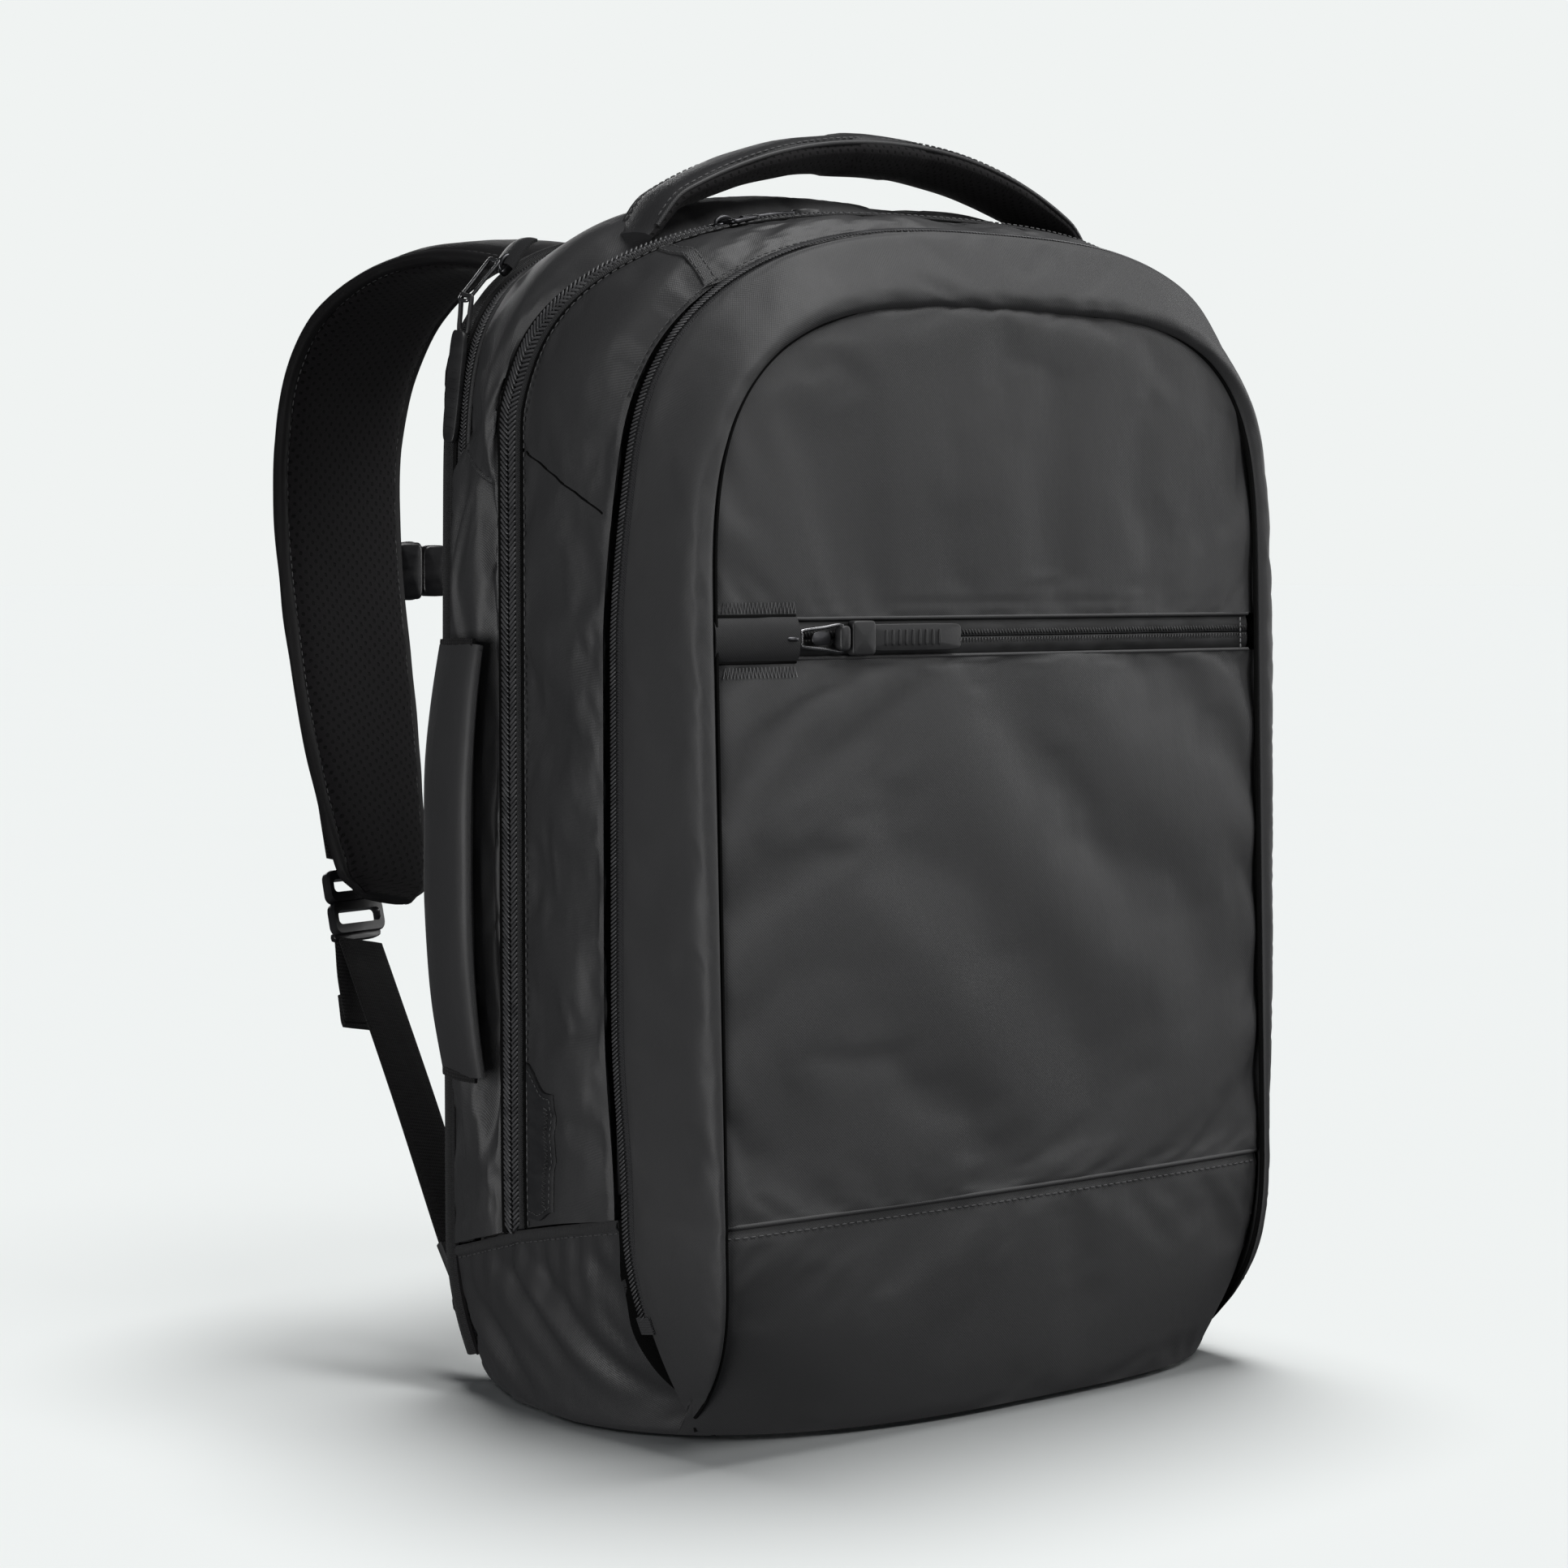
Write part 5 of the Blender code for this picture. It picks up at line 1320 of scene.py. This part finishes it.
def side_handles():
    """The padded side handles, bowed out over the slack side panels."""
    low, high, count = 0.1330, 0.3020, 80
    u = np.linspace(-1, 1, count)
    bow = 0.0070 * (1 - np.abs(u) ** 2.4)
    widths, thick = 0.0325 + 0.0030 * (1 - u ** 2), 0.0035 + 0.0012 * (1 - u ** 2)
    section = mirrored([(-1.0, -0.2), (-1.0, 0.25), (-0.90, 0.62), (-0.70, 0.88), (-0.35, 1.05),
                        (0.0, 1.1)]) + mirrored([(0.86, -0.55), (0.6, -0.8), (0.2, -0.9)])
    for side, tag in SIDES:
        path = np.stack([side * (0.1590 + bow), np.full(count, 0.0560),
                         (low + high) / 2 + (high - low) / 2 * u], 1)
        wide, face = path_frames(path, np.array((side * -0.12, 1.0, 0.0)))
        face *= (np.sign(face[:, 0]) * side)[:, None]
        rings = section_rings(path, wide, face, widths, thick, section)
        lumps = 0.0009 * value_noise(rings * (1, 1, 0.6), 42, 90.0 + side)
        rings = rings + ring_normals(rings, face, 5) * lumps[..., None]
        put(closed_loft("side_handle_pad_" + tag, rings, "gusset_fabric"), "root",
            "side_handle_" + tag, padded=0.8)
        for edge in (-1, 1):
            rim = path + wide * (widths * edge / 2)[:, None]
            put(tube("side_handle_piping_%s_%s" % (tag, "ab"[edge > 0]), rim[1:-1], 0.0009,
                     "binding", 8), "root")
        for at, name in ((0, "low"), (count - 1, "high")):
            line = np.array([path[at] + wide[at] * t + face[at] * (0.0036 - 9.0 * t * t)
                             for t in np.linspace(-0.0134, 0.0134, 9)])
            along = np.array((0.0, 0.0, 1.0))
            up = unit_rows(np.cross(np.gradient(line, axis=0), along))
            put(flat_band("side_handle_tack_%s_%s" % (tag, name), line, along, up,
                          (0.0046, 0.0016)), "root")


def back_panel():
    """The padded back: two mesh-covered columns with an air channel, bound all round."""
    rows, columns, low = 110, 84, 0.0125
    grid = np.zeros((rows, columns, 3))
    for j in range(rows):
        for i in range(columns):
            x = -math.cos(math.pi * i / (columns - 1)) * (BACK_SEAM.half - 0.0022)
            top = BACK_SEAM.top_at(x * 0.998) - 0.0022
            z = low + (top - low) * cosine_rows(j / (rows - 1))
            squeeze = (BACK_SEAM.half - tuck(z, BACK_TUCK)) / BACK_SEAM.half
            grid[j, i] = (x * squeeze, BACK_SEAM.y_low + PAD * 0.5, z)
    x, z = grid[..., 0], grid[..., 2]
    wide = np.abs(x) / np.abs(x[:, -1:])
    rim = np.minimum.reduce([(1 - wide) * 0.146, (z[-1:] - z), (z - low)])
    edge = np.sqrt(np.clip(rim / 0.012, 0, 1))
    channel = bell(x, 0, 0.015) * ramp(z, 0.035, 0.075) * ramp(-z, -0.425, -0.375)
    cross = (bell(z, 0.135, 0.0035) + bell(z, 0.262, 0.0035) + bell(z, 0.372, 0.0035))
    cross *= ramp(np.abs(x), 0.018, 0.030) * ramp(-np.abs(x), -0.136, -0.120)
    depth = PAD * 0.5 * edge + 0.0008 * edge - 0.0062 * channel - 0.0030 * cross
    depth += 0.0008 * value_noise(grid, 22, 100.0) * edge
    grid[..., 1] += depth
    grid = settle(grid, edges_of(grid) | (cross > 0.6) | (channel > 0.8), 0.6, 0.012, 0.0022,
                  14, 55.0)
    inside = (0, 0, 0.25)
    put(shell("back_panel_pad", grid, 0.0030, "air_mesh", inside), "root", "back_panel",
        padded=0.7)
    side_wall = between_rows([BACK_SEAM.curve(240, -0.0002, 0.0004, foot=low),
                              BACK_SEAM.curve(240, 0.0010, 0.0036, foot=low),
                              BACK_SEAM.curve(240, 0.0035, 0.0075, foot=0.0140)], 7)
    put(shell("back_panel_side", side_wall, 0.0012, "strap_skin", inside), "root")
    roll = BACK_SEAM.curve(420, 0.0014, 0.0040, foot=0.0135)
    put(tube("back_panel_piping", roll, 0.0034, "edge_roll", 12), "root")
    bottom = np.stack([np.linspace(-0.128, 0.128, 60), np.full(60, 0.0820), np.full(60, 0.0128)], 1)
    wall = strip(bottom + (0, -0.0040, 0), bottom + (0, 0.0030, 0))
    put(shell("back_panel_foot", wall, 0.0012, "strap_skin", inside), "root")
    for k, tag in SIDES:
        line = np.array([(k * 0.066 + dx, 0.0915 + 0.0012, 0.4475)
                         for dx in np.linspace(-0.027, 0.027, 10)])
        put(flat_band("strap_root_tack_" + tag, line, (0, 0.2, 1.0), (0, 1.0, -0.2),
                      (0.010, 0.0022)), "root")


def trims(front_grid):
    """Small sewn parts: corner bindings, the side label patch and the laptop zip's hood."""
    for side, tag in SIDES:
        picks = [(side * (0.1216 + 0.0016 * math.sin(math.pi * t) - 0.0014 * t),
                  -0.0255 - 0.0315 * t) for t in np.linspace(0, 1, 30)]
        path, up = on_top(front_grid, picks)
        path_up = path + up * 0.0003
        put(flat_band("shoulder_binding_" + tag, path_up, across_of(path, up), up,
                      (0.0062, 0.0012), "binding"), "lid")
        for k in (-1, 1):
            edge = path + across_of(path, up) * (k * 0.0022) + up * 0.0010
            stitch("shoulder_stitch_%s_%s" % (tag, "ab"[k > 0]), edge, up, 0.0030,
                   (0.0021, 0.0006, 0.0005), "lid")
    patch = []
    for t in np.linspace(0, 1, 14):
        high, low = 0.1400 - 0.0100 * ramp(t, 0.05, 0.75), 0.0795 + 0.0050 * ramp(t, 0.45, 1.0)
        column, up = on_grid(front_grid, [(0.0200 - 0.0215 * t, z)
                                          for z in np.linspace(low, high, 26)], (1, 2), -1)
        patch.append(column + up * (0.0012 - 0.0008 * (t in (0.0, 1.0))))
    patch = np.array(patch)
    put(shell("side_patch", patch, 0.0010, "soft_rubber"), LID_FOLD, slot="side_fabric")
    dense = resample(patch[9][2:-3] + outward_normals(patch)[9][2:-3] * 0.0003, 50)
    dense[::2, 1] -= 0.0022
    put(tube("side_patch_zigzag", dense, 0.00042, "thread", 5), LID_FOLD)
    line = resample(np.concatenate([patch[1:-1, 1], patch[-2, 1:-1], patch[1:-1, -2][::-1]]), 90)
    up = np.array((-1.0, 0.0, 0.0))
    stitch("side_patch_stitch", line + up * 0.0002, up, 0.0026, (0.0017, 0.0005, 0.0005),
           LID_FOLD)
    hood = [[(-0.1160 - 0.0120 * t, 0.0715 + 0.0075 * a,
              0.4640 - 0.0125 * t ** 1.6 + 0.0028 * (1 - a * a) * (0.4 + 0.6 * t))
             for a in np.linspace(-1, 1, 10)] for t in np.linspace(0, 1, 10)]
    put(shell("laptop_zip_hood", hood, 0.0012, "handle_skin", (-0.10, 0.07, 0.44)), "root")


def on_top(grid, picks):
    """Points and normals of an upward-facing surface over given x and y."""
    flat, n = grid.reshape(-1, 3), outward_normals(grid).reshape(-1, 3)
    keep = flat[:, 2] > 0.36
    flat, n = flat[keep], n[keep]
    found = [near_point(flat, n, flat[:, :2], target, 5, 1e-8) for target in picks]
    points, normals = (np.array(part) for part in zip(*found))
    path = smooth_line(points[::4], 4)
    return path, normals[np.linspace(0, len(normals) - 1, len(path)).astype(int)]


# ---- hardware ----------------------------------------------------------------------
def across_of(path, up):
    return unit_rows(np.cross(up, np.gradient(path, axis=0)))


def wire_ring(name, start, direction, side, length, body, *nodes, radius=0.0007,
              wide=0.0046, narrow=0.0026, material="polished_wire"):
    """A wire loop that widens or narrows from its start to its end."""
    half = [(0, wide * 0.5), (0.0004, wide), (length * 0.5, (wide + narrow) / 2),
            (length - 0.0016, narrow), (length, narrow * 0.6)]
    corners = [start + direction * a + side * b for a, b in half]
    corners += [start + direction * a - side * b for a, b in reversed(half)]
    path = smooth_line(np.array(corners + [corners[0]]), 5)[:-1]
    put(tube(name, path, radius, material, 8, closed=True), body, *nodes, slot="gunmetal")


def slider(name, centre, ahead, up, size=(0.0120, 0.0078, 0.0034)):
    """A zip slider: waisted body, bridge and rounded nose."""
    centre, ahead, up = np.asarray(centre, float), unit(ahead), unit(up)
    up = unit(up - ahead * (up @ ahead))
    bar(name + "_body", centre, (ahead, np.cross(up, ahead), up), size, name, name,
        material="gunmetal_plate", power=3.0, segments=24, taper=0.72)
    bridge = np.array([centre + ahead * (size[0] * 0.34 * math.cos(t))
                       + up * (size[2] * 0.45 + 0.0020 * math.sin(t))
                       for t in np.linspace(math.pi, 0, 11)])
    put(tube(name + "_bridge", bridge, 0.0010, "gunmetal_plate", 8, 0.8), name)


def pull_tab(name, start, direction, side, length, body, width, thick):
    """A soft ribbed puller."""
    direction, side = unit(direction), unit(side)
    up = np.cross(direction, side)
    centre, ribs = start + direction * (length / 2), 7
    bar(name, centre, (direction, side, up), (length, width, thick), body, body + "_tab",
        material="soft_rubber", power=5.0, segments=28, taper=0.92)
    for k in range(ribs):
        at = centre + direction * ((k - (ribs - 1) / 2) * length * 0.085 + length * 0.12)
        for face in (-1, 1):
            bar("%s_rib_%d%s" % (name, k, "ab"[face > 0]), at + up * (face * thick * 0.5),
                (side, direction, up), (width * 0.62, 0.0010, 0.0006), body,
                material="soft_rubber", segments=12)


def hardware():
    """The four zip sliders with their pulls."""
    main_dir, tab_dir = unit((0.980, 0.010, 0.190)), unit((0.985, 0.130, 0.090))
    across = np.array((0.0, 1.0, 0.0))
    main_at = np.array((-0.0930, -0.0270, 0.4637))
    slider("main_slider", main_at, main_dir, (-0.19, 0, 0.98))
    start = main_at + (-0.0020, -0.0030, 0.0012)
    wire_ring("main_pull_ring", start, main_dir, across, 0.0135, "main_pull", "main_pull_wire",
              radius=0.0010, wide=0.0058, narrow=0.0050, material="gunmetal_plate")
    end = start + main_dir * 0.022
    rod = smooth_line([start + main_dir * 0.0085, start + main_dir * 0.016,
                       end + tab_dir * 0.004, end + tab_dir * 0.017], 6)
    radii = np.interp(np.linspace(0, 1, len(rod)), (0, 0.3, 1), (0.0016, 0.0012, 0.0014))
    put(tube("main_pull_rod", rod, radii, "gunmetal_plate", 8), "main_pull")
    bar("main_pull_drop", end + tab_dir * 0.022, (tab_dir, across, np.cross(tab_dir, across)),
        (0.0150, 0.0088, 0.0040), "main_pull", "main_pull_tab", material="soft_rubber",
        power=2.2, segments=24, taper=0.55)

    laptop_at = np.array((-0.1255, 0.0710, 0.4535))
    slide_dir, pull_dir = unit((-0.62, 0.02, -0.78)), unit((-0.66, 0.06, -0.75))
    slider("laptop_slider", laptop_at, slide_dir, (-0.78, 0, 0.62), (0.0100, 0.0066, 0.0032))
    start = laptop_at + (-0.0040, 0.0035, 0.0020)
    side = unit(np.cross(pull_dir, (0.8, 0.2, -0.6)))
    wire_ring("laptop_pull_ring", start, pull_dir, side, 0.0220, "laptop_pull",
              "laptop_pull_wire", radius=0.0008, wide=0.0030)
    tab_dir = unit((-0.12, 0.0, -0.99))
    wire_ring("laptop_link", start + pull_dir * 0.0195, tab_dir, side, 0.0150, "laptop_pull",
              radius=0.0010, wide=0.0030, material="soft_rubber")
    pull_tab("laptop_tab", start + pull_dir * 0.0222 + tab_dir * 0.0120, tab_dir, side, 0.0450,
             "laptop_pull", 0.0085, 0.0024)

    front_at = np.array((0.1528, -0.0320, 0.2400))
    down = np.array((0.0, 0.0, -1.0))
    slider("front_slider", front_at, down, (1, 0, 0), (0.0100, 0.0060, 0.0030))
    start = front_at + (0.0026, 0, 0)
    wire_ring("front_pull_ring", start, down, across, 0.0220, "front_pull", "front_pull_wire")
    pull_tab("front_tab", start + down * 0.0232, down, across, 0.0470, "front_pull",
             0.0100, 0.0022)

    y = front_face(-0.1034, ZIP_Z)
    axes = right, up, toward = np.array(((1.0, 0, 0), (0, 0, 1.0), (0, -1.0, 0)))
    slider("pocket_slider", (-0.1085, y + 0.0002, ZIP_Z), right, toward,
           (0.0100, 0.0072, 0.0030))
    start = np.array((-0.1040, y - 0.0024, ZIP_Z))
    wire_ring("pocket_pull_ring", start, right, up, 0.0205, "pocket_pull", "pocket_pull_wire",
              radius=0.0008, wide=0.0030, narrow=0.0050)
    for part, along, out, size, material, power, segments, nodes in (
            ("plate", 0.0095, 0.0, (0.0090, 0.0052, 0.0012), "gunmetal_plate", 3.0, 20, ()),
            ("knuckle", 0.0200, 0.0004, (0.0050, 0.0096, 0.0044), "soft_rubber", 4.0, 24, ()),
            ("collar", 0.0295, 0.0002, (0.0115, 0.0132, 0.0042), "soft_rubber", 8.0, 28, ()),
            ("strip", 0.0560, 0.0001, (0.0470, 0.0104, 0.0024), "soft_rubber", 9.0, 36,
             ("pocket_pull_tab",)),
            *(("rib_%d" % k, 0.0410 + 0.0034 * k, 0.0014, (0.0012, 0.0062, 0.0007),
               "soft_rubber", 4.0, 12, ()) for k in range(9))):
        bar("pocket_pull_" + part, start + right * along + toward * out, axes, size,
            "pocket_pull", *nodes, material=material, power=power, segments=segments)


def sternum_strap():
    """The chest strap with its side-release buckle and rail clips."""
    y, z = STERNUM_Y, STERNUM_Z
    axes = _, up, out = np.array(((1.0, 0, 0), (0, 0, 1.0), (0, 1.0, 0)))
    for k, tag in SIDES:
        at = np.array((k * 0.0680, y, z))
        window("sternum_clip_frame_" + tag, at, axes, (0.0160, 0.0285), (0.0070, 0.0205),
               0.0048, "strap_" + tag, "sternum_clip_" + tag, corner=0.0035)
        bar("sternum_clip_bar_" + tag, at - out * 0.0006, axes, (0.0042, 0.0270, 0.0030),
            "strap_" + tag)
    parts = [("socket", -0.0455, 0.0, (0.0140, 0.0262, 0.0084), 7.0, 32, "strap_left",
              ("buckle_female",)),
             ("tail", -0.0550, 0.0, (0.0072, 0.0240, 0.0066), 5.0, 24, "strap_left", ()),
             ("tongue", -0.0310, 0.0, (0.0140, 0.0236, 0.0066), 5.0, 28, "buckle_male",
              ("buckle_male",))]
    for k, letter in ((-1, "a"), (1, "b")):
        parts += [("prong_" + letter, -0.0420, k * 0.0062, (0.0080, 0.0030, 0.0026), 3.0, 16,
                   "buckle_male", ("buckle_prongs",) if k > 0 else ()),
                  ("button_" + letter, -0.0450, k * 0.0120, (0.0076, 0.0030, 0.0050), 2.4, 16,
                   "strap_left", ())]
    for part, x, rise, size, power, segments, body, nodes in parts:
        bar("buckle_" + part, np.array((x, y, z + rise)), axes, size, body, *nodes,
            power=power, segments=segments)
    path = np.array([(x, y, z) for x in np.linspace(-0.0235, 0.0595, 40)])
    path[:, 2] -= 0.0010 * np.sin(np.linspace(0, math.pi, 40))
    put(flat_band("sternum_webbing", path, up, out, (0.0198, 0.0016)), "strap_right",
        "sternum_webbing_right")
    path = np.array([(x, y, z) for x in np.linspace(-0.0612, -0.0545, 6)])
    put(flat_band("sternum_webbing_short", path, up, out, (0.0198, 0.0016)), "strap_left")
    window("sternum_keeper", np.array((0.0350, y, z)), axes, (0.0095, 0.0262),
           (0.0060, 0.0208), 0.0044, "strap_right", corner=0.0018)


# ---- inside ------------------------------------------------------------------------
def inside():
    """Linings, divider and boards, seen when the bag is open."""
    for material, nodes in (
            ("lining_cloth", ("organiser_wall", "laptop_divider", "pocket_lining")),
            ("board", ("frame_sheet", "base_stiffener"))):
        for node in nodes:
            NODES[node].data.materials.clear()
            NODES[node].data.materials.append(MATERIALS[material])


# ---- stage -------------------------------------------------------------------------
def light(name, kind, energy, place, aim, width, height=None):
    """A soft box on the bag or a broad sun on the floor; neither is seen itself."""
    data = bpy.data.lights.new(name, kind)
    data.energy = energy
    if kind == "AREA":
        data.shape, data.size, data.size_y = "RECTANGLE", width, height
    else:
        data.angle = math.radians(width)
    obj = bpy.data.objects.new(name, data)
    bpy.context.scene.collection.objects.link(obj)
    obj.location, obj.rotation_mode = place, "QUATERNION"
    obj.rotation_quaternion = (Vector(aim) - Vector(place)).to_track_quat("-Z", "Y")
    obj.visible_camera = False
    return obj


def studio_world(scene):
    """Plain paper white behind the bag, and almost no light from all round."""
    world = bpy.data.worlds.new("studio")
    scene.world = world
    world.use_nodes = True
    tree = world.node_tree
    tree.nodes.clear()
    out, mix, path, dim, plain = (tree.nodes.new("ShaderNode" + kind) for kind in (
        "OutputWorld", "MixShader", "LightPath", "Background", "Background"))
    dim.inputs["Color"].default_value = (0.92, 0.95, 1.0, 1)
    dim.inputs["Strength"].default_value = 0.07
    plain.inputs["Color"].default_value = (0.871, 0.896, 0.888, 1)
    for made, into in ((path.outputs["Is Camera Ray"], mix.inputs[0]),
                       (dim.outputs[0], mix.inputs[1]), (plain.outputs[0], mix.inputs[2]),
                       (mix.outputs[0], out.inputs[0])):
        tree.links.new(made, into)


def paper_floor(scene):
    """A wide round sheet of paper, which throws no light back on the bag."""
    corners, radius = 64, 60
    mesh = bpy.data.meshes.new("floor")
    mesh.from_pydata([(radius * math.cos(a), radius * math.sin(a), 0.0) for a in
                      np.linspace(0, 2 * math.pi, corners, endpoint=False)], [],
                     [tuple(range(corners))])
    floor = bpy.data.objects.new("floor", mesh)
    scene.collection.objects.link(floor)
    g = Graph("paper")
    tone = g.blend(g.noise(3.0), (0.868, 0.893, 0.885), (0.874, 0.899, 0.891))
    g.finish(Base_Color=tone, Roughness=1.0, Specular_IOR_Level=0.0)
    mesh.materials.append(g.material)
    floor.visible_diffuse = floor.visible_glossy = False
    floor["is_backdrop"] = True
    return floor


def stage():
    """The studio: two suns light the floor, six soft boxes the bag."""
    scene = bpy.context.scene
    view = scene.view_settings
    view.view_transform, view.look, view.exposure = "Standard", "None", 0.0
    studio_world(scene)
    for name, lit, rows in (
            ("lit_pieces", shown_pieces(), (
                ("top", "AREA", 42.0, (0.55, -0.85, 2.2), (0, -0.02, 0.35), 1.7, 1.1),
                ("front", "AREA", 12.5, (0.95, -2.3, 1.05), (0, -0.05, 0.28), 1.3, 1.5),
                ("left", "AREA", 16.0, (-2.2, -0.55, 0.30), (-0.1, 0, 0.2), 1.0, 0.8),
                ("low", "AREA", 4.4, (-0.95, -0.45, 0.02), (-0.15, 0, 0.07), 0.4, 0.3),
                ("rear", "AREA", 22.0, (0.9, 2.4, 0.8), (0, 0.1, 0.26), 1.4, 1.4),
                ("right", "AREA", 15.0, (2.1, -0.35, 0.7), (0.1, 0, 0.25), 1.0, 1.4))),
            ("lit_floor", (paper_floor(scene),), (
                ("floor_above", "SUN", 2.65, (0.17, 0.17, 1.0), (0, 0, 0), 28),
                ("floor_ahead", "SUN", 0.395, (0.10, -0.50, 1.0), (0, 0, 0), 30)))):
        receivers = bpy.data.collections.new(name)
        for obj in lit:
            receivers.objects.link(obj)
        for row in rows:
            light(*row).light_linking.receiver_collection = receivers


def camera():
    data = bpy.data.cameras.new("camera")
    data.lens, data.sensor_width = 82.8, 36.0
    data.clip_start, data.clip_end = 0.05, 200.0
    obj = bpy.data.objects.new("camera", data)
    bpy.context.scene.collection.objects.link(obj)
    bpy.context.scene.camera = obj
    azimuth, elevation = math.radians(39.53), math.radians(3.47)
    forward = Vector((math.sin(azimuth) * math.cos(elevation),
                      math.cos(azimuth) * math.cos(elevation), -math.sin(elevation)))
    obj.location = (-0.9658, -1.1209, 0.3335)
    obj.rotation_mode = "QUATERNION"
    obj.rotation_quaternion = forward.to_track_quat("-Z", "Y")


make_materials()
rear_gusset()
lid_grid = front_gusset()
boot_sides()
base()
front_band()
panels = front_panels()
main_zip()
groove_zip()
laptop_zip()
pocket_zip(panels)
for strap_side, strap_tag in SIDES:
    shoulder_strap(strap_side, strap_tag)
    adjuster(strap_side, strap_tag)
top_handle()
side_handles()
back_panel()
hardware()
trims(lid_grid)
sternum_strap()
inside()
camera()
stage()
